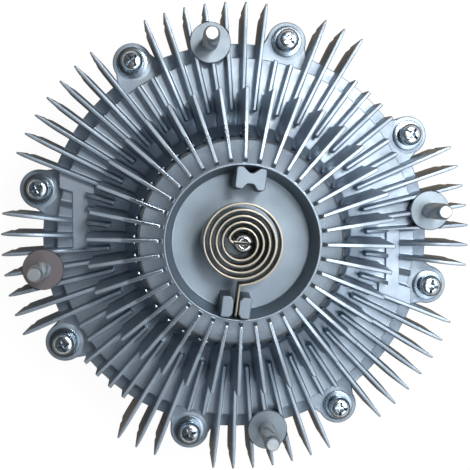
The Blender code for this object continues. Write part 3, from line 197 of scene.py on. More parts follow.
def lathe(section, steps, at=(0.0, 0.0)):
    """Spin a closed section of (radius, height) points round an upright axis."""
    thing = trace([(r, 0.0, z) for r, z in section])
    bpy.ops.mesh.spin(steps=steps, angle=math.tau, center=(0, 0, 0), axis=(0, 0, 1))
    tidy_mesh(thing)
    thing.data.transform(Matrix.Translation((*at, 0)))
    return thing


print("meshes so far:", len(bpy.data.meshes))

# %% [markdown]
# No casting and no turned piece has a knife edge, so the sharp corners of a section become
# short arcs before it is spun. An arc takes less than half of each side it touches.

# %% Round the corners of a section
NEARLY_STRAIGHT = 0.05
SIDE_SHARE = 0.45


def round_corners(section, radii, segments=3):
    """Turn corners into arcs: one radius in millimetres for all, or one for each index."""
    done = []
    for i, corner in enumerate(section):
        here = Vector(corner)
        back = Vector(section[i - 1]) - here
        ahead = Vector(section[(i + 1) % len(section)]) - here
        wanted = (radii.get(i, 0.0) if isinstance(radii, dict) else radii) * MM
        turn = back.angle(ahead, 0.0)
        shortest = min(back.length, ahead.length)
        if wanted <= 0 or shortest < 0.1 * TOUCH or abs(math.sin(turn)) < NEARLY_STRAIGHT:
            done.append(corner)
            continue
        reach = min(wanted / math.tan(turn / 2), SIDE_SHARE * shortest)
        size = reach * math.tan(turn / 2)
        inwards = (back.normalized() + ahead.normalized()).normalized()
        middle = here + inwards * size / math.sin(turn / 2)
        first = here + back.normalized() * reach - middle
        last = here + ahead.normalized() * reach - middle
        sweep = first.angle_signed(last)
        for k in range(segments + 1):
            arm = first.copy()
            arm.rotate(Matrix.Rotation(-sweep * k / segments, 2))
            done.append(tuple(middle + arm))
    return done


print("points of a rounded triangle:", len(round_corners(mm((0, 0), (9, 0), (0, 9)), 1.0)))

# %% [markdown]
# ## Shader nodes for what the metals share
#
# Cast and plated metals differ in colour, but they share two things: a fine grain that breaks
# up reflections, and slow stains where the colour drifts. Both sit on object coordinates, so
# they stay with a piece that turns. These helpers build their nodes.

# %% Node helpers


def feed(tree, node, inputs):
    """Give each input of a node its value, or a link where a socket is given."""
    for label, value in inputs.items():
        if isinstance(value, bpy.types.NodeSocket):
            tree.links.new(value, node.inputs[label])
        else:
            node.inputs[label].default_value = value


def add(tree, kind, inputs=None, **settings):
    """Add a shader node with its settings and inputs."""
    node = tree.nodes.new("ShaderNode" + kind)
    for key, value in settings.items():
        setattr(node, key, value)
    feed(tree, node, inputs or {})
    return node


def remap(tree, value, low, high, to_low, to_high):
    """Map a value from one range to another, clamped."""
    ends = {"From Min": low, "From Max": high, "To Min": to_low, "To Max": to_high}
    return add(tree, "MapRange", {"Value": value, **ends}).outputs["Result"]


def axis_distance(tree, place):
    """Distance of a place from the clutch's upright axis."""
    flat = add(tree, "VectorMath", {0: place, 1: (1.0, 1.0, 0.0)}, operation="MULTIPLY")
    return add(tree, "VectorMath", {0: flat.outputs["Vector"]}, operation="LENGTH").outputs["Value"]


def height_of(tree, place):
    """Height of a place, or the upward share of a direction."""
    return add(tree, "SeparateXYZ", {"Vector": place}).outputs["Z"]


def noise(tree, place, scale, detail, roughness=0.6):
    """Noise texture on a place."""
    setting = {"Vector": place, "Scale": scale, "Detail": detail, "Roughness": roughness}
    return add(tree, "TexNoise", setting).outputs["Fac"]


print("node helpers ready")

# %% [markdown]
# Each shared effect is built once as a node group that gives plain values. Every material feeds
# it with its own scale. One group holds grain and stains, the other the fine rings of a lathe.

# %% Build the shared shader groups


def new_group(name, inputs, outputs):
    """Create a shader group with float inputs and outputs."""
    group = bpy.data.node_groups.new(name, "ShaderNodeTree")
    for side, labels in (("INPUT", inputs), ("OUTPUT", outputs)):
        for label in labels:
            group.interface.new_socket(label, in_out=side, socket_type="NodeSocketFloat")
    return group, group.nodes.new("NodeGroupInput"), group.nodes.new("NodeGroupOutput")


def build_grain():
    """Height of a metal's grain, and its slow stains."""
    group, source, sink = new_group("metal_grain", ["Scale", "Stain Scale"], ["Height", "Stain"])
    place = add(group, "TexCoord").outputs["Object"]
    slow = noise(group, place, source.outputs["Stain Scale"], 4.0, 0.65)
    feed(group, sink, {"Height": noise(group, place, source.outputs["Scale"], 3.0),
                       "Stain": remap(group, slow, 0.35, 0.65, 0.0, 1.0)})
    return group


def build_turning():
    """Height of the fine rings that a lathe leaves round the clutch's axis."""
    group, source, sink = new_group("turning_marks", ["Scale"], ["Height"])
    place = add(group, "TexCoord").outputs["Object"]
    pair = add(group, "CombineXYZ", {"X": axis_distance(group, place), "Y": height_of(group, place)})
    feed(group, sink, {"Height": noise(group, pair.outputs["Vector"], source.outputs["Scale"], 2.0)})
    return group


GRAIN = build_grain()
TURNING = build_turning()
print("shader groups:", [group.name for group in bpy.data.node_groups])

# %% [markdown]
# ## Materials
#
# One function builds every finish: a Principled shader whose colour swings between two tones
# with the slow stain, whose roughness drifts a little, and whose grain comes from a bump.

# %% One function for every metal
BUMP_DEPTH = 0.0002


def metal(name, tones, rough, bump, stain, grain=2500.0, metallic=1.0, turned=0.0):
    """A metal with grain, stains, a drifting roughness and, if turned, a lathe's rings."""
    made = bpy.data.materials.new(name)
    made.use_nodes = True
    tree = made.node_tree
    skin = add(tree, "Group", {"Scale": grain, "Stain Scale": stain}, node_tree=GRAIN)
    spots = skin.outputs["Stain"]
    height = skin.outputs["Height"]
    if turned:
        height = add(tree, "Group", {"Scale": turned}, node_tree=TURNING).outputs["Height"]
    lift = add(tree, "Bump", {"Strength": bump, "Distance": BUMP_DEPTH, "Height": height})
    first, second = [(*tone, 1.0) for tone in tones]
    colour = add(tree, "Mix", {"Factor": spots, "A": first, "B": second}, name="tone", data_type="RGBA")
    middle, drift = rough
    feed(tree, tree.nodes["Principled BSDF"], {
        "Metallic": metallic, "Base Color": colour.outputs["Result"], "Normal": lift.outputs["Normal"],
        "Roughness": remap(tree, spots, 0.0, 1.0, middle - drift, middle + drift)})
    return made


print("bump depth, mm:", BUMP_DEPTH / MM)

# %% [markdown]
# The cover is not alike everywhere: its recess is painted darker, as painted shade, and the
# shoulder round it is smoother and mirrors more. The coil's upper edges are painted paler than
# its sides, as painted light from above. Masks pick such places out by radius and height, or by
# where the surface faces.

# %% Masks, tints and polish


def facing_up(tree, low, high):
    """Mask of the faces whose normal points up, from the object's own normal."""
    normal = add(tree, "TexCoord").outputs["Normal"]
    return remap(tree, height_of(tree, normal), low, high, 0.0, 1.0)


def ring_mask(tree, inner, outer, low):
    """Mask of a ring between two radii, above a height, round the clutch's axis."""
    place = add(tree, "TexCoord").outputs["Object"]
    distance = axis_distance(tree, place)
    total = remap(tree, distance, inner - 0.5 * MM, inner, 0.0, 1.0)
    for mask in (remap(tree, distance, outer, outer + 2 * MM, 1.0, 0.0),
                 remap(tree, height_of(tree, place), low - 2 * MM, low, 0.0, 1.0)):
        total = add(tree, "Math", {0: total, 1: mask}, operation="MULTIPLY").outputs["Value"]
    return total


def tint(material, mask, tone):
    """Blend another tone over a metal where a mask says so."""
    tree = material.node_tree
    under = tree.nodes["tone"].outputs["Result"]
    over = add(tree, "Mix", {"Factor": mask, "A": under, "B": (*tone, 1.0)}, data_type="RGBA")
    feed(tree, tree.nodes["Principled BSDF"], {"Base Color": over.outputs["Result"]})


def polish(material, mask, amount):
    """Make a metal smoother where a mask says so."""
    tree = material.node_tree
    socket = tree.nodes["Principled BSDF"].inputs["Roughness"]
    rough = socket.links[0].from_socket
    less = add(tree, "Math", {0: mask, 1: -amount, 2: rough}, operation="MULTIPLY_ADD")
    tree.links.new(less.outputs["Value"], socket)


CAST = metal("cast_aluminium_skin", ((0.46, 0.54, 0.62), (0.39, 0.46, 0.54)),
             rough=(0.50, 0.07), bump=0.24, grain=1400.0, stain=45.0)
polish(CAST, ring_mask(CAST.node_tree, 36.5 * MM, 54 * MM, 73 * MM), 0.20)
# Painted shade: the recess floor and walls get a darker tone.
tint(CAST, ring_mask(CAST.node_tree, -1.0, 34 * MM, 60 * MM), (0.30, 0.36, 0.42))
print("nodes in the cast skin:", len(CAST.node_tree.nodes))

# %% [markdown]
# The hardware is zinc-plated: the screws bright and the collars of the studs dull. The washers
# are painted darker, as painted shade under the screw heads, and one collar has a browner,
# darker finish than the rest. The bimetal strip is a warm grey from its oxide, and turned
# pieces show the rings that the lathe left.

# %% Name the other finishes
TURNED = metal("turned_aluminium", ((0.74, 0.75, 0.77), (0.68, 0.69, 0.71)),
               rough=(0.28, 0.04), bump=0.2, stain=80.0, turned=3000.0)
ZINC = metal("bright_zinc", ((0.76, 0.83, 0.87), (0.62, 0.69, 0.73)),
             rough=(0.22, 0.06), bump=0.10, stain=160.0)
DULL = {"rough": (0.50, 0.06), "bump": 0.15, "grain": 2200.0, "stain": 60.0}
SATIN = metal("satin_zinc", ((0.33, 0.39, 0.44), (0.29, 0.34, 0.39)), **DULL)
BROWNER = metal("browner_zinc", ((0.34, 0.30, 0.31), (0.28, 0.26, 0.28)), **DULL)
# Painted shade: the washers and the faces inside each cross recess get this darker zinc tone.
WASHER = metal("zinc_painted_dark", ((0.38, 0.46, 0.54), (0.28, 0.35, 0.42)),
               rough=(0.25, 0.05), bump=0.12, grain=2200.0, stain=120.0)
STUD = metal("stud_zinc", ((0.68, 0.73, 0.77), (0.56, 0.61, 0.65)),
             rough=(0.48, 0.05), bump=0.10, stain=160.0)
STEEL = metal("ground_steel_skin", ((0.60, 0.61, 0.63), (0.52, 0.53, 0.56)),
              rough=(0.24, 0.04), bump=0.2, grain=3000.0, stain=90.0, turned=2600.0)
BRIGHT = metal("polished_steel", ((0.74, 0.76, 0.79), (0.66, 0.68, 0.72)),
               rough=(0.14, 0.03), bump=0.05, grain=3000.0, stain=150.0)
PRESSED = metal("pressed_steel", ((0.48, 0.49, 0.51), (0.42, 0.43, 0.45)),
                rough=(0.34, 0.05), bump=0.1, stain=90.0)
STRIP = metal("bimetal_strip", ((0.44, 0.40, 0.31), (0.33, 0.29, 0.22)),
              rough=(0.38, 0.06), bump=0.12, stain=150.0)
# Painted light: the coil's upward faces get a paler tone, as if lit from above.
tint(STRIP, facing_up(STRIP.node_tree, 0.55, 0.85), (0.46, 0.42, 0.35))
RUBBER = metal("seal_rubber", ((0.02, 0.02, 0.02), (0.03, 0.03, 0.03)),
               rough=(0.62, 0.05), bump=0.2, stain=90.0, metallic=0.0)
print("materials:", len(bpy.data.materials))

# %% [markdown]
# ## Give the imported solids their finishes
#
# A solid that already has the right shape stays as it is, and only its material changes. That
# goes for the sealed pieces inside: the bearing, the rotor, the plate and the valve arm. A
# piece that is modelled anew gets its finish in `finish_piece`, and stands for its solid.

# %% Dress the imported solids
FINISH = {"cast_aluminium": CAST, "machined_aluminium": TURNED, "zinc_steel": ZINC,
          "ground_steel": STEEL, "plate_steel": PRESSED, "bimetal": STRIP, "rubber": RUBBER}
for entry in frame["record"]["subparts"]:
    thing = frame["nodes"][entry["node"]]
    thing.data.materials.clear()
    thing.data.materials.append(FINISH[entry["material_slot"]])
print("dressed solids:", len(frame["nodes"]))


def finish_piece(thing, name, body, slot, material, *nodes):
    """Give a new piece its name, finish and body, and let it stand for its solids."""
    thing.name = name
    thing.data.name = name
    thing.data.materials.clear()
    thing.data.materials.append(material)
    for face in thing.data.polygons:
        face.material_index = 0
    if body:
        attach(thing, body)
    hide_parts(*nodes)


# %% [markdown]
# ## The cover's turned body
#
# Under its fins the cover is a body of revolution: a flat rim at the joint, a raised land, a
# steep hub, and a recess for the coil. Its section is drawn once, its corners become arcs, and
# a spin makes the body. The inside follows the solid's chamber and reservoir, so the shell has
# its real wall.

# %% Spin the cover body


def count_faces(thing):
    """Triangles of a mesh, for the printed notes."""
    thing.data.calc_loop_triangles()
    return len(thing.data.loop_triangles)


outside = mm((4.6, 73.5), (8.8, 73.5), (8.8, 70), (32.8, 70), (34.6, 79.9), (35.4, 83.5), (48.0, 77.2))
outside += [(55.6 * MM, LAND), (LAND_EDGE - 0.5 * MM, LAND), (LAND_EDGE, RIM_TOP), (RIM, RIM_TOP),
            (RIM, JOINT)]
inside = [(86 * MM, JOINT)]
inside += mm((86, 49.7), (51.5, 49.7), (51.5, 52), (45.5, 52), (44, 72), (38.5, 73.2), (36.1, 64),
             (11, 64), (11, 60.7), (4.6, 60.7))
radii = {1: 0.8, 2: 0.6, 3: 0.7, 4: 2.5, 5: 0.45, 6: 3.4, 7: 1.6, 8: 0.6, 9: 1.2, 10: 0.5}
cover_body = lathe(round_corners(outside + inside, radii, 5), 144)
print("cover body faces:", count_faces(cover_body))

# %% [markdown]
# ## Tools for the fins
#
# Each fin is a thin plate that is thicker at its foot, because a casting has to leave its die.
# A side outline is traced and extruded, each level is resized for the draft, and the free
# edges are bevelled.

# %% Extrude, draft and bevel


def extrude(way):
    """Fill the traced outline, extrude it along a vector and leave edit mode."""
    bpy.ops.mesh.edge_face_add()
    bpy.ops.mesh.extrude_region_move(TRANSFORM_OT_translate={"value": way})
    mode("OBJECT")


def resize(thing, test, value, centre=(0, 0, 0)):
    """Scale the vertices that pass a test about a centre."""
    choose(thing, "VERT", test)
    bpy.ops.transform.resize(value=value, center_override=centre)
    mode("OBJECT")


def bevel(thing, width, segments, test):
    """Round the edges that pass a test."""
    choose(thing, "EDGE", test)
    bpy.ops.mesh.bevel(offset=width, segments=segments, affect="EDGES", clamp_overlap=True)
    mode("OBJECT")


def plate(side, half=FIN_HALF):
    """Extrude a side outline of (radius, height) points to a plate on +X."""
    thing = trace([(r, -half, z) for r, z in side])
    extrude((0, 2 * half, 0))
    return tidy_mesh(thing)


def half_at(top, height, rest=FIN_HALF):
    """Half thickness of a drafted fin at a height, from its half thickness at the top."""
    return rest + abs(top - height) * FIN_SLOPE


def draft(thing, top, rest=FIN_HALF):
    """Thicken a fin towards its foot by resizing one level after another."""
    for level in sorted({round(vertex.co.z, 6) for vertex in thing.data.vertices}):
        resize(thing, lambda co: abs(co.z - level) < 2 * TOUCH, (1, half_at(top, level, rest) / rest, 1))


print("half thickness of a fin's foot, mm:", round(half_at(FIN_TOP, LAND) / MM, 2))

# %% [markdown]
# ## Three kinds of outer fin
#
# A blade reaches past the rim and tapers to its tip, a short fin ends flush with the rim, and a
# rib stops at a lug. Modelling one of each and copying it keeps all seventy-two alike, as one
# die would.

# %% Model the outer fins
FREE_START, JOINED_START = 62.4 * MM, 68.6 * MM
BLADE_LOW = 40.3 * MM
TAPER = ((105.5, 1.0), (109.5, 0.93), (112.0, 0.72))
TIP_SHARE = 0.42


def taper_blade(thing):
    """Thin a blade towards its tip, one cut after another."""
    for radius, share in TAPER:
        choose(thing, "VERT", lambda co: True)
        bpy.ops.mesh.bisect(plane_co=(radius * MM, 0, 0), plane_no=(1, 0, 0))
        resize(thing, lambda co: abs(co.x - radius * MM) < TOUCH, (1, share, 1))
    resize(thing, lambda co: co.x > 112.4 * MM or (co.x > 111.5 * MM and co.z < 41 * MM),
           (1, TIP_SHARE, 1))


def outer_fin(start, kind):
    """An outer fin from a start radius: a blade, a short fin or a rib that stops at a lug."""
    root = LAND - 2.5 * MM
    heel = LAND_EDGE - 1.1 * MM
    shelf = RIM_TOP - 2 * MM
    ends = {"blade": [(heel, root), (heel, BLADE_LOW), (111.7 * MM, BLADE_LOW), (113.3 * MM, FIN_TOP)],
            "short": [(heel, root), (heel, shelf), (RIM - 0.7 * MM, shelf), (RIM - 0.9 * MM, FIN_TOP)],
            "rib": [(LAND_EDGE - 0.6 * MM, root), (LAND_EDGE - 0.9 * MM, FIN_TOP)]}
    thing = plate([(start, root)] + ends[kind] + [(start, FIN_TOP)])
    draft(thing, FIN_TOP)
    if kind == "blade":
        taper_blade(thing)
    bevel(thing, 0.4 * MM, 2, lambda a, b: min(a.z, b.z) > FIN_TOP - TOUCH)
    if kind != "rib" or start < 65 * MM:
        bevel(thing, 0.5 * MM, 2,
              lambda a, b: max(a.x, b.x) < start + 10 * TOUCH and abs(a.z - b.z) > 3 * MM)
    return tidy_mesh(thing, 40)


fin_models = {(kind, free): outer_fin(FREE_START if free else JOINED_START, kind)
              for kind in ("blade", "short", "rib") for free in (True, False)}
print("fin models:", [(kind, count_faces(thing)) for (kind, free), thing in fin_models.items()])

# %% [markdown]
# ## Set the outer fins round the cover
#
# Most positions hold a long blade. Beside each screw lug the fins stop at the edge of the land,
# and in two opposite sectors they end flush with the rim. Every second fin starts free, and the
# others grow out of the tall inner fins.

# %% Copy the outer fins


def copy_turned(thing, degrees, shift=(0.0, 0.0, 0.0)):
    """Copy a piece with its own mesh, turned about the clutch's axis after a shift."""
    made = bpy.data.objects.new("copy", thing.data.copy())
    turn = Matrix.Rotation(math.radians(degrees), 4, "Z")
    made.data.transform(turn @ Matrix.Translation(shift))
    bpy.context.scene.collection.objects.link(made)
    return made


def join(things):
    """Join several meshes into one object at the origin."""
    clear()
    for thing in things:
        thing.select_set(True)
    bpy.context.view_layer.objects.active = things[0]
    bpy.ops.object.join()
    return bpy.context.object


def repeats(first, degrees, step):
    """Tell whether an angle repeats a first one at a regular step."""
    away = (degrees - first) % step
    return min(away, step - away) < 0.5


outer = []
for k in range(FIN_COUNT):
    degrees = FIN_PHASE + k * FIN_PITCH
    beside_lug = repeats(28.4, degrees, 45) or repeats(33.4, degrees, 45)
    short = any(repeats(38.4 + 5 * step, degrees, 180) for step in range(4))
    kind = "rib" if beside_lug else "short" if short else "blade"
    outer.append(copy_turned(fin_models[kind, k % 2 == 0], degrees))
drop(*fin_models.values())
outer_fins = join(outer)
print("outer fins:", len(outer), "faces:", count_faces(outer_fins))

# %% [markdown]
# The blades pass under the stud collars, and two flat pads cross the fins. Both places are
# cleared with cutters: a cylinder at each collar and a block at each pad.

# %% Clear the fins at the studs and the pads


def block(outline, low, high, spread=0.0):
    """Extrude a closed plan outline upwards; its foot is wider by a share."""
    thing = trace([(x, y, low) for x, y in outline])
    extrude((0, 0, high - low))
    if spread:
        centre = sum((vertex.co for vertex in thing.data.vertices), Vector()) / len(thing.data.vertices)
        resize(thing, lambda co: co.z < low + TOUCH, (1 + spread, 1 + spread, 1), (centre.x, centre.y, low))
    return tidy_mesh(thing)


def modify(thing, kind, **settings):
    """Add a modifier with its settings, and apply it at once."""
    activate(thing)
    step = thing.modifiers.new("step", kind)
    for key, value in settings.items():
        setattr(step, key, value)
    bpy.ops.object.modifier_apply(modifier="step")


def cut(thing, tool):
    """Cut a tool away with an exact Boolean, then drop the tool."""
    modify(thing, "BOOLEAN", operation="DIFFERENCE", solver="EXACT", object=tool)
    drop(tool)


for degrees in STUD_ANGLES:
    clear()
    bpy.ops.mesh.primitive_cylinder_add(vertices=48, radius=10.05 * MM, depth=6 * MM,
                                        location=(*on_circle(STUD_CIRCLE, degrees), 62.2 * MM))
    cut(outer_fins, bpy.context.object)
bar = mm((73.4, 4.5), (73.4, -25.2), (89.5, -30.6), (89.5, -14.4), (80.3, -12.9), (80.3, 4.5))
for side in (1, -1):
    cut(outer_fins, block([(side * x, side * y) for x, y in bar], 57.3 * MM, 64 * MM))
print("cleared fins:", count_faces(outer_fins))

# %% [markdown]
# ## The tall inner fins
#
# Thirty-six inner fins climb from the land over the hub to the rim of the recess. They are
# traced and drafted as the outer ones are, with a taller side.

# %% Model and copy the inner fins
inner_side = mm((37.6, 80.8), (56.6, 53.4), (71.8, 53.4), (70.6, 84), (38.5, 85.5), (36.5, 83.0))
inner_model = plate(inner_side)
draft(inner_model, TALL_TOP)
bevel(inner_model, 0.4 * MM, 2, lambda a, b: min(a.z, b.z) > 83 * MM)
bevel(inner_model, 0.4 * MM, 2, lambda a, b: min(a.x, b.x) > 70 * MM and abs(a.z - b.z) > 3 * MM)
tidy_mesh(inner_model, 40)
first_tall = FIN_PHASE + FIN_PITCH
inner = [copy_turned(inner_model, first_tall + 2 * FIN_PITCH * k) for k in range(FIN_COUNT // 2)]
drop(inner_model)
inner_fins = join(inner)
print("inner fins:", len(inner), "faces:", count_faces(inner_fins))

# %% [markdown]
# ## Fillets at the feet
#
# Molten aluminium never fills a sharp inner corner, so each fin meets its floor in a small
# curve. Each fillet here is a thin strip with a hollow face, laid along the foot of a fin.

# %% Lay the fillets
UP, HUB_SIDE = (0, 0, 1), (0.96, 0, 0.28)


def fillet_strip(start, end, floor_normal, wall_normal, size):
    """Strip along a corner from start to end, with a hollow face of three steps."""
    floor_way, wall_way = Vector(wall_normal).normalized(), Vector(floor_normal).normalized()
    ring = [Vector(start) - 0.3 * size * (floor_way + wall_way)]
    for k in range(4):
        turn = math.pi / 2 * k / 3
        hollow = (1 - math.sin(turn)) * floor_way + (1 - math.cos(turn)) * wall_way
        ring.append(Vector(start) + size * hollow)
    thing = trace(ring)
    extrude(Vector(end) - Vector(start))
    return tidy_mesh(thing)


foot, tall_foot, tall_half = half_at(FIN_TOP, LAND), half_at(TALL_TOP, LAND), half_at(TALL_TOP, 77 * MM)
feet = [(0, (62.8 * MM, foot, LAND), (88.0 * MM, foot, LAND), UP, 0.9 * MM),
        (1, (70.4 * MM, foot, LAND), (88.0 * MM, foot, LAND), UP, 0.9 * MM),
        (1, (55.6 * MM, tall_foot, LAND), (71.2 * MM, tall_foot, LAND), UP, 1.0 * MM),
        (1, (55.4 * MM, tall_foot, LAND + 0.4 * MM), (49.6 * MM, tall_half, 75.6 * MM), HUB_SIDE, 1.0 * MM)]
fillets = []
for side in (-1, 1):
    for first, start, end, floor_normal, size in feet:
        ends = [(r, side * half, z) for r, half, z in (start, end)]
        strip = fillet_strip(*ends, floor_normal, (0, side, FIN_SLOPE), size)
        for k in range(first, FIN_COUNT, 2):
            fillets.append(copy_turned(strip, FIN_PHASE + k * FIN_PITCH))
        drop(strip)
foot_fillets = join(fillets)
print("fillet strips:", len(fillets), "faces:", count_faces(foot_fillets))

# %% [markdown]
# ## Lugs and stud bosses
#
# The screw lugs stick out of the rim, and two wedges lead each one into it. The studs stand in
# bosses between the blades. Tops that would lie in one plane are set a hair apart, because two
# faces in one plane render as dark patches.

# %% Model the lugs and bosses
HAIR = 0.04 * MM
LUG = (3.3 * MM, 9.7 * MM)


def ring_at(radii, levels, circle, degrees, edge, corner=2):
    """Ring round a hole; `edge` mm rounds its top (corner 2) or bottom (corner 1) outer edge."""
    (hole, outer), (low, high) = radii, levels
    section = [(hole, low), (outer, low), (outer, high), (hole, high)]
    return lathe(round_corners(section, {corner: edge}), 40, on_circle(circle, degrees))


def flares(degrees, low, high, rounded_top):
    """The two wedges that lead a lug's flanks into the rim, rounded along one level."""
    made = []
    level = high if rounded_top else low
    for side in (-1, 1):
        plan = mm((90, side * 3.5), (99.5, side * 3.6), (100.8, side * 9.4), (94.8, side * 11.8),
                  (90, side * 13.0))
        if side < 0:
            plan.reverse()
        wedge = block(plan, low, high)
        bevel(wedge, 0.6 * MM, 3,
              lambda a, b: max(abs(a.z - level), abs(b.z - level)) < TOUCH
              and max(a.x, b.x) > 92 * MM and max(abs(a.y), abs(b.y)) > 9 * MM)
        wedge.data.transform(Matrix.Rotation(math.radians(degrees), 4, "Z"))
        made.append(tidy_mesh(wedge))
    return made


cast_pieces = []
for degrees in SCREW_ANGLES:
    cast_pieces.append(ring_at(LUG, (JOINT, RIM_TOP + HAIR), SCREW_CIRCLE, degrees, 0.7))
    cast_pieces += flares(degrees, JOINT, RIM_TOP - HAIR, True)
for degrees in STUD_ANGLES:
    cast_pieces.append(ring_at((4.3 * MM, 7.8 * MM), (JOINT, 59.2 * MM), STUD_CIRCLE, degrees, 0.3))
print("lugs, flares and bosses:", len(cast_pieces))

# %% [markdown]
# ## Posts and pads
#
# In the recess stand three posts that guide the coil: one shaped like a bow tie, and a pair with
# a slot between them for the coil's outer leg. Two flat pads lie across the fins. Each is traced
# in plan, extruded and bevelled, and then the whole casting becomes one object.

# %% Model the posts and pads, and join the casting
POST_TURN = 83.4
POST_TOP = 86.5 * MM
PAD_TOP = 57.4 * MM
bow = mm((-6.9, -5.0), (-3.2, -5.0), (-1.5, -2.4), (1.5, -2.4), (3.4, -5.0), (6.9, -5.0),
         (6.9, 5.1), (3.9, 5.1), (0.9, 2.7), (-0.9, 2.7), (-3.9, 5.1), (-6.9, 5.1))
pillar = mm((-2.75, -4.9), (1.2, -4.9), (2.75, -3.1), (2.75, 3.1), (1.2, 4.9), (-2.75, 4.9))
mirrored = [(-x, y) for x, y in reversed(pillar)]


def post(outline, degrees, sideways, corner):
    """Drafted post in the recess, rounded in plan and along its top edge."""
    thing = block(round_corners(outline, corner, 4), 69.5 * MM, POST_TOP, 0.10)
    bevel(thing, 0.45 * MM, 3, lambda a, b: min(a.z, b.z) > POST_TOP - TOUCH)
    turn = Matrix.Rotation(math.radians(degrees - 90), 4, "Z")
    thing.data.transform(turn @ Matrix.Translation((sideways, 29.3 * MM, 0)))
    return tidy_mesh(thing, 35)


cast_pieces.append(post(bow, POST_TURN, 0.0, 1.5))
cast_pieces.append(post(pillar, POST_TURN + 180, -4.0 * MM, 0.8))
cast_pieces.append(post(mirrored, POST_TURN + 180, 4.0 * MM, 0.8))
pad = mm((73.4, 4.5), (73.4, -20.9), (69.8, -19.9), (69.8, -27.0), (86.4, -33.5), (86.4, -24.9),
         (80.3, -23.0), (80.3, 4.5))
for side in (1, -1):
    thing = block([(side * x, side * y) for x, y in pad], 53.5 * MM, PAD_TOP)
    bevel(thing, 0.4 * MM, 3, lambda a, b: min(a.z, b.z) > PAD_TOP - TOUCH)
    cast_pieces.append(tidy_mesh(thing, 35))
front_cover = join([cover_body, outer_fins, inner_fins, foot_fillets] + cast_pieces)
finish_piece(front_cover, "front_cover_casting", "housing", "cast_aluminium", CAST, "front_cover")
print("cover casting faces:", count_faces(front_cover))

# %% [markdown]
# ## The rear case
#
# The rear half carries the bearing and faces the engine. It is a casting as well: a plate with a
# deep hub, a step under its rim, short thick fins and a lug for each screw. It is built as the
# cover was, with the same draft, rounded edges and fillets.

# %% Model the rear body and its fins
REAR_TOP = 38.7 * MM
REAR_PLATE = 28 * MM
REAR_FIN_TIP = 17.5 * MM
REAR_FIN_HALF = 1.15 * MM
REAR_FIN_ANGLES = [FIN_PHASE + 15 * k for k in range(24)]
rear_side = mm((27, 11.5), (38.5, 11.5), (39.5, 28), (91.2, 28), (91.2, 29.7))
rear_side += [(RIM, 29.7 * MM), (RIM, REAR_TOP), (90.8 * MM, REAR_TOP), (90.8 * MM, 36.6 * MM),
              (88.4 * MM, 36.6 * MM), (88.4 * MM, REAR_TOP), (86 * MM, REAR_TOP)]
rear_side += mm((86, 34), (31.3, 34), (31.3, 32.1), (32.9, 32.1), (32.9, 30), (31.3, 30), (31.3, 13.7),
                (27, 13.7))
rear_radii = {0: 0.5, 1: 1.6, 2: 2.4, 3: 0.7, 4: 0.6, 5: 1.0, 6: 0.4}
rear_pieces = [lathe(round_corners(rear_side, rear_radii, 4), 120)]
rear_fin = plate(mm((42, 17.5), (82, 17.5), (90, 23.5), (90, 29), (42, 29)), REAR_FIN_HALF)
draft(rear_fin, REAR_FIN_TIP, REAR_FIN_HALF)
bevel(rear_fin, 0.55 * MM, 3, lambda a, b: max(a.z, b.z) < 23.6 * MM and abs(a.y - b.y) < 0.8 * MM
      and abs(a.x - b.x) > 3 * MM)
bevel(rear_fin, 0.5 * MM, 2, lambda a, b: abs(a.z - b.z) > 4 * MM and abs(a.x - b.x) < 1 * MM)
tidy_mesh(rear_fin, 40)
rear_pieces += [copy_turned(rear_fin, degrees) for degrees in REAR_FIN_ANGLES]
drop(rear_fin)
print("rear fins:", len(REAR_FIN_ANGLES))

# %% [markdown]
# The rear fins get fillets as well, and each lug meets its partner on the cover at the joint.

# %% Add the rear fillets and lugs
REAR_LUG = 25.7 * MM
rear_foot = half_at(REAR_FIN_TIP, REAR_PLATE, REAR_FIN_HALF)
for side in (-1, 1):
    ends = [(42.4 * MM, side * rear_foot, REAR_PLATE), (89.4 * MM, side * rear_foot, REAR_PLATE)]
    strip = fillet_strip(*ends, (0, 0, -1), (0, side, -FIN_SLOPE), 1.2 * MM)
    rear_pieces += [copy_turned(strip, degrees) for degrees in REAR_FIN_ANGLES]
    drop(strip)
for degrees in SCREW_ANGLES:
    rear_pieces.append(ring_at(LUG, (REAR_LUG, REAR_TOP - HAIR), SCREW_CIRCLE, degrees, 0.9, 1))
    rear_pieces += flares(degrees, REAR_LUG + HAIR, REAR_TOP - 2 * HAIR, False)
rear_case = join(rear_pieces)
finish_piece(rear_case, "rear_case_casting", "housing", "cast_aluminium", CAST, "rear_case")
print("rear casting faces:", count_faces(rear_case))

# %% [markdown]
# ## The input shaft
#
# The shaft is turned from steel, and its flange is drilled for the bolts of the water pump's hub.
# A drilled hole gets a small chamfer on both sides, so each cutter here is a pin with a cone at
# each end. The socket in the middle ends in the cone that a drill leaves.

# %% Turn and drill the input shaft
BOLT_CIRCLE = 37.5 * MM
shaft_side = mm((0.0, 13.2), (12.5, 11), (12.5, 1), (13.5, 0.0), (46.9, 0.0), (48, 1.1), (48, 6.9),
                (46.9, 8), (19, 8), (19, 13.7), (14.7, 13.7), (14.7, 29.5), (12, 29.5), (12, 44),
                (10.8, 44), (10.8, 46.1), (12, 46.1), (12, 46.8), (11, 47.8), (0.0, 47.8))
input_shaft = lathe(round_corners(shaft_side, {8: 2.2, 9: 0.5}, 4), 120)
pin_side = mm((0.0, -1), (6.0, -1), (4.4, 0.6), (4.4, 7.4), (6.0, 9), (0.0, 9))
for degrees in (45, 135, 225, 315):
    cut(input_shaft, lathe(pin_side, 40, on_circle(BOLT_CIRCLE, degrees)))
tidy_mesh(input_shaft)
finish_piece(input_shaft, "input_shaft_piece", "input_drive", "ground_steel", STEEL, "input_shaft")
print("input shaft faces:", count_faces(input_shaft))

# %% [markdown]
# ## Screws and washers
#
# Eight screws hold the two halves together. Each has a flat washer, a split spring washer and a
# pan head with a cross recess. The head is a lathe section with a crowned top, and the recess is
# cut by two tapered blades and a cone, as the cold-heading punch would press it.

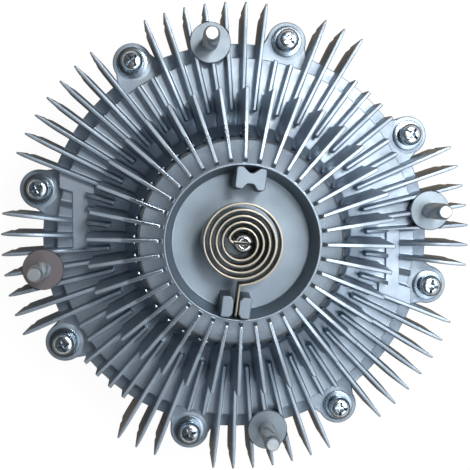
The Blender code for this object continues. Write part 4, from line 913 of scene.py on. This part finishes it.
# %% Model one screw and its washers
low = RIM_TOP + 0.3 * MM
flat_top = low + 1.6 * MM
lock_low, lock_top = flat_top + 0.05 * MM, flat_top + 1.8 * MM
under = lock_top + 0.3 * MM
head_top = under + 4.1 * MM
head = [(r * MM, under + z * MM) for r, z in (
    (0.0, -22), (2.4, -22), (3.0, -21.2), (3.0, 0.0), (5.2, 0.0), (5.35, 0.3), (5.35, 1.9), (5.2, 2.6),
    (4.8, 3.2), (4.1, 3.65), (3.0, 3.95), (0.0, 4.1))]
screw_model = lathe(head, 48)
cross_plan = mm((-3.9, -0.85), (3.9, -0.85), (3.9, 0.85), (-3.9, 0.85))
for degrees in (0, 90):
    cross = block(cross_plan, head_top - 2.6 * MM, head_top + 1 * MM, -0.45)
    cross.data.transform(Matrix.Rotation(math.radians(degrees), 4, "Z"))
    cut(screw_model, cross)
clear()
bpy.ops.mesh.primitive_cone_add(vertices=24, radius1=0.4 * MM, radius2=2.3 * MM, depth=3.0 * MM,
                                location=(0, 0, head_top - 1.0 * MM))
cut(screw_model, bpy.context.object)
tidy_mesh(screw_model, 35)
washer = [(3.2 * MM, low), (7.5 * MM, low), (7.5 * MM, flat_top), (3.2 * MM, flat_top)]
washer_model = lathe(round_corners(washer, 0.25, 2), 48)
lock = ((3.2, lock_low), (5.4, lock_low), (5.4, lock_top), (3.2, lock_top))
lock_model = trace([(r * MM, 0, z) for r, z in lock])
bpy.ops.mesh.edge_face_add()
bpy.ops.mesh.spin(steps=40, angle=math.radians(350), center=(0, 0, 0), axis=(0, 0, 1))
tidy_mesh(lock_model)
print("screw faces:", count_faces(screw_model))

# %% [markdown]
# The crosses and the gaps of the spring washers point in all directions, as screws stop
# where they are tight. The faces inside each cross get the washers' darker finish, as painted shade.

# %% Copy the screws and washers
CROSS_TURNS = [20, 65, 10, 40, 75, 30, 55, 5]


def in_cross(face):
    """Tell whether a face of the screw model lies inside the cross recess."""
    return (under + MM < face.center.z < head_top - 0.3 * MM and face.normal.z < 0.97
            and math.hypot(face.center.x, face.center.y) < 3.9 * MM)


cross_faces = [in_cross(face) for face in screw_model.data.polygons]
for k, degrees in enumerate(SCREW_ANGLES):
    on_lug = Matrix.Rotation(math.radians(degrees), 4, "Z") @ Matrix.Translation((SCREW_CIRCLE, 0, 0))
    for model, label, spin, material in ((screw_model, "cover_screw", CROSS_TURNS[k], ZINC),
                                         (washer_model, "cover_washer", 0, WASHER),
                                         (lock_model, "cover_spring_washer", 120 + 25 * k, WASHER)):
        piece = copy_turned(model, spin)
        piece.data.transform(on_lug)
        finish_piece(piece, f"{label}_piece_{k + 1}", "housing", "zinc_steel", material, f"{label}_{k + 1}")
        if model is screw_model:
            # Painted shade: the faces inside the cross recess get the darker washer finish.
            piece.data.materials.append(WASHER)
            for face, inside_cross in zip(piece.data.polygons, cross_faces):
                face.material_index = int(inside_cross)
drop(screw_model, washer_model, lock_model)
print("screws, washers and spring washers:", 3 * len(SCREW_ANGLES))

# %% [markdown]
# ## Fan studs
#
# The fan is held on four studs, each with a wide collar for a seat. The thread is a real helix:
# the shank is spun with many rings, and each vertex is then moved in by its height and its
# turn. The shank is brighter than the collar, so it has a finish of its own.

# %% Model one stud and copy it
THREAD_PITCH = 1.25 * MM
THREAD_DEPTH = 0.65 * MM
THREAD_LOW, THREAD_HIGH = 62.6 * MM, 81.0 * MM
THREAD_RINGS = 60
BROWNER_STUD = 2
stud_side = mm((0.0, 44.5), (4.0, 44.5), (4.0, 59.5), (9.45, 59.5), (9.75, 59.8), (9.75, 61.7),
               (9.45, 62), (3.5, 62), (3.5, 62.3))
for k in range(THREAD_RINGS + 1):
    stud_side.append((4.0 * MM, THREAD_LOW + (THREAD_HIGH - THREAD_LOW) * k / THREAD_RINGS))
stud_side += mm((3.2, 81.9), (3.1, 82.2), (3.1, 83.6), (2.7, 84), (0.0, 84))
stud_model = lathe(stud_side, 32)
for vertex in stud_model.data.vertices:
    radius = math.hypot(vertex.co.x, vertex.co.y)
    if 3.9 * MM < radius < 4.1 * MM and vertex.co.z > THREAD_LOW - TOUCH:
        phase = (vertex.co.z / THREAD_PITCH - math.atan2(vertex.co.y, vertex.co.x) / math.tau) % 1.0
        share = (radius - THREAD_DEPTH * abs(2 * phase - 1)) / radius
        vertex.co.x *= share
        vertex.co.y *= share
tidy_mesh(stud_model, 35)
for k, degrees in enumerate(STUD_ANGLES):
    piece = copy_turned(stud_model, degrees, (STUD_CIRCLE, 0, 0))
    # The third collar gets a browner, darker copy of the collar finish than the rest.
    collar = BROWNER if k == BROWNER_STUD else SATIN
    finish_piece(piece, f"fan_stud_piece_{k + 1}", "housing", "zinc_steel", collar, f"fan_stud_{k + 1}")
    piece.data.materials.append(STUD)
    for face in piece.data.polygons:
        face.material_index = int(face.center.z > FIN_TOP + 0.1 * MM)
drop(stud_model)
print("studs:", len(STUD_ANGLES))

# %% [markdown]
# ## The bimetal coil
#
# The coil is one flat strip of two metals that curls as it warms. Its middle line starts in the
# shaft's slot, winds outwards and ends in a straight leg between the posts. It is traced as a
# chain of vertices, from which the strip will grow.

# %% Wind the coil's middle line
SLOT_TURN = math.radians(175)
LEG_TURN = math.radians(POST_TURN + 180)
COIL_STEPS = 260
COIL_FIRST, COIL_LAST = math.radians(22), 4.757 * math.tau
COIL_START, COIL_PITCH = 5.8, 2.80
slot_way = Vector((math.cos(SLOT_TURN), math.sin(SLOT_TURN)))
leg_way = Vector((math.cos(LEG_TURN), math.sin(LEG_TURN), 0.0))
spiral = []
for k in range(COIL_STEPS + 1):
    turn = COIL_FIRST + (COIL_LAST - COIL_FIRST) * k / COIL_STEPS
    radius = (COIL_START + COIL_PITCH * turn / math.tau) * MM
    spiral.append(Vector((-1.0 * MM + radius * math.cos(math.pi - turn),
                          0.3 * MM + radius * math.sin(math.pi - turn))))
line = [slot_way * reach * MM for reach in (-2.6, 3.9, 4.7)]
line.append((line[2] + spiral[0]) / 2 - Vector((0.3 * MM, 0.3 * MM)))
line += spiral + [leg_way.to_2d() * 33.1 * MM]
print("points on the coil's line:", len(line))

# %% [markdown]
# The line is extruded upwards to the strip's width, and gets its thickness from a Solidify
# modifier. A small bevel catches light along the edges, as on the real strip. The tab in the
# slot is lowered, so that it lies below the shaft's end. The coil is fixed to the shaft at one
# end and to the posts at the other, and here it is given no body.

# %% Grow the strip
coil = trace([(point.x, point.y, 76 * MM) for point in line], closed=False)
bpy.ops.mesh.select_all(action="SELECT")
bpy.ops.mesh.extrude_edges_move(TRANSFORM_OT_translate={"value": (0, 0, 11.5 * MM)})
choose(coil, "VERT", lambda co: co.z > 87 * MM and math.hypot(co.x, co.y) < 4.0 * MM)
bpy.ops.transform.translate(value=(0, 0, -9.5 * MM))
modify(coil, "SOLIDIFY", thickness=0.9 * MM, offset=0.0, use_even_offset=True)
modify(coil, "BEVEL", width=0.13 * MM, segments=2, limit_method="ANGLE", angle_limit=math.radians(50))
tidy_mesh(coil, 35)
finish_piece(coil, "bimetal_coil", None, "bimetal", STRIP, "bimetal_spring")
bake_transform(coil)
print("coil faces:", count_faces(coil))

# %% [markdown]
# ## The valve shaft
#
# The coil turns this shaft, and the shaft turns the valve inside. Its rounded end is hollowed
# in the middle and slotted for the coil's inner tab.

# %% Turn and slot the valve shaft
shaft = mm((0.0, 52.1), (2.4, 52.1), (2.4, 53.7), (4.3, 53.7), (4.3, 59.1), (3.5, 59.1), (3.5, 60.7),
           (4.3, 60.7), (4.3, 65.2), (3.0, 65.2), (3.0, 66.8), (4.3, 66.8), (4.3, 86.2), (4.1, 86.9),
           (3.6, 87.5), (3.0, 87.85), (2.4, 88), (2.0, 87.9), (1.2, 87.1), (0.5, 86.6), (0.0, 86.5))
valve_shaft = lathe(shaft, 64)
slot = block(mm((-6, -0.85), (6, -0.85), (6, 0.85), (-6, 0.85)), 75.5 * MM, 90 * MM)
slot.data.transform(Matrix.Rotation(SLOT_TURN, 4, "Z"))
cut(valve_shaft, slot)
tidy_mesh(valve_shaft, 35)
finish_piece(valve_shaft, "valve_shaft_piece", "valve", "ground_steel", BRIGHT, "valve_shaft")
print("valve shaft faces:", count_faces(valve_shaft))

# %% [markdown]
# ## The floor
#
# The photograph shows the clutch on white, but its metal mirrors a brown table. So the camera
# sees plain white, and mirrored rays see only a small share of it. Floor and world share this.

# %% Helpers for what only the camera sees
MIRRORED_WHITE = 0.035


def seen_share(tree, camera_share):
    """Share of plain white that the camera sees, and the smaller one that metal mirrors."""
    rays = add(tree, "LightPath").outputs
    total = 0.0
    for flag, weight in (("Is Camera Ray", camera_share), ("Is Glossy Ray", MIRRORED_WHITE),
                         ("Is Transmission Ray", MIRRORED_WHITE)):
        part = add(tree, "Math", {0: rays[flag], 1: weight, 2: total}, operation="MULTIPLY_ADD")
        total = part.outputs["Value"]
    return total


def blend_shaders(tree, share, first, second, target):
    """Show one shader over another by a share, and send the result to an output."""
    blend = add(tree, "MixShader", {0: share, 1: first, 2: second})
    feed(tree, tree.nodes[target], {"Surface": blend.outputs["Shader"]})


print("white in a mirrored ray:", MIRRORED_WHITE)

# %% [markdown]
# The floor is glowing white paper with enough plain diffuse left to hold a shadow. That diffuse
# part is brown for every ray but the camera's.

# %% Lay the floor
WHITE = (1.0, 1.0, 1.0, 1.0)
clear()
bpy.ops.mesh.primitive_plane_add(size=6.0, location=(0, 0, -0.2 * MM))
floor = bpy.context.object
floor.name = "floor"
paper = bpy.data.materials.new("white_paper")
paper.use_nodes = True
tree = paper.node_tree
glow = add(tree, "Emission", {"Color": WHITE, "Strength": 1.08})
seen = add(tree, "LightPath").outputs["Is Camera Ray"]
tone = add(tree, "Mix", {"Factor": seen, "A": (0.34, 0.22, 0.12, 1.0), "B": (0.80, 0.80, 0.80, 1.0)},
           data_type="RGBA")
base = tree.nodes["Principled BSDF"]
feed(tree, base, {"Base Color": tone.outputs["Result"], "Roughness": 0.9, "Specular IOR Level": 0.1})
blend_shaders(tree, seen_share(tree, 0.88), base.outputs["BSDF"], glow.outputs["Emission"],
              "Material Output")
floor.data.materials.append(paper)
print("floor laid at, mm:", round(floor.location.z / MM, 2))

# %% [markdown]
# ## The lamps
#
# The photograph's light comes from the right: the fins' shadows fall to the lower left, with
# clear edges. A small key lamp stands at the upper right, a wide soft one at the right, and a
# weaker wide one at the lower right.

# %% Set the lamps
LAMP_DISTANCE = 0.9


def area_light(name, azimuth, elevation, size, power, colour):
    """Square lamp aimed at the clutch from a direction."""
    data = bpy.data.lights.new(name, "AREA")
    data.size = size
    data.energy = power
    data.color = colour
    lamp = bpy.data.objects.new(name, data)
    bpy.context.scene.collection.objects.link(lamp)
    rise = math.radians(elevation)
    way = Vector((*on_circle(math.cos(rise), azimuth), math.sin(rise)))
    lamp.location = way * LAMP_DISTANCE + Vector((0, 0, 0.06))
    lamp.rotation_euler = way.to_track_quat("Z", "Y").to_euler()


area_light("key", 56, 65, 0.16, 2.6, (1.0, 0.99, 0.97))
area_light("skylight", 20, 62, 0.5, 2.6, (0.93, 0.97, 1.0))
area_light("window", 320, 62, 0.45, 1.4, (0.92, 0.96, 1.0))

# %% [markdown]
# ## The world
#
# The world gives the metal something to mirror. A pale band lies about 24 to 36 degrees above
# the horizon, where the slopes of the shoulder look. The sky over it is dark, which gives the
# metal its contrast, and below it is a dim brown. The right half is brighter.

# %% Paint the world
BANDS = [(0.0, (0.02, 0.015, 0.01)), (0.28, (0.05, 0.036, 0.026)), (0.40, (0.82, 0.86, 0.90)),
         (0.58, (0.82, 0.86, 0.90)), (0.68, (0.04, 0.038, 0.038)), (1.0, (0.02, 0.019, 0.02))]
BRIGHT_WAY = (0.97, 0.24, 0.0)
world = bpy.data.worlds.new("studio")
bpy.context.scene.world = world
world.use_nodes = True
tree = world.node_tree
sky = tree.nodes["Background"]
way = add(tree, "TexCoord").outputs["Generated"]
ramp = add(tree, "ValToRGB", {"Fac": height_of(tree, way)})
while len(ramp.color_ramp.elements) < len(BANDS):
    ramp.color_ramp.elements.new(0.5)
for element, (height, colour) in zip(ramp.color_ramp.elements, BANDS):
    element.position = height
    element.color = (*colour, 1.0)
aim = add(tree, "VectorMath", {0: way, 1: BRIGHT_WAY}, operation="DOT_PRODUCT")
feed(tree, sky, {"Color": ramp.outputs["Color"],
                 "Strength": remap(tree, aim.outputs["Value"], -0.8, 0.8, 0.7, 1.2)})
white = add(tree, "Background", {"Color": WHITE})
blend_shaders(tree, seen_share(tree, 1.0), sky.outputs["Background"], white.outputs["Background"],
              "World Output")
bpy.context.scene.view_settings.view_transform = "Standard"
print("world bands:", len(BANDS))

# %% [markdown]
# ## The camera
#
# The camera stands almost straight above the clutch, a little to the left and up, at the place
# that was fitted to the photograph's fins, studs and rings. Its lens follows from that fit.

# %% Place the camera
FOCAL_PIXELS = 743.0
IMAGE_PIXELS = 470.0
SENSOR = 36.0
eye = bpy.data.cameras.new("camera")
eye.sensor_width = SENSOR
eye.lens = SENSOR * FOCAL_PIXELS / IMAGE_PIXELS
eye.clip_start = 0.01
eye.clip_end = 20.0
camera = bpy.data.objects.new("camera", eye)
bpy.context.scene.collection.objects.link(camera)
camera.location = (-27.17 * MM, 24.78 * MM, (357.58 + 62.0) * MM)
camera.rotation_euler = [math.radians(angle) for angle in (-3.586, -3.996, -0.023)]
bpy.context.scene.camera = camera
print("lens, mm:", round(eye.lens, 2))
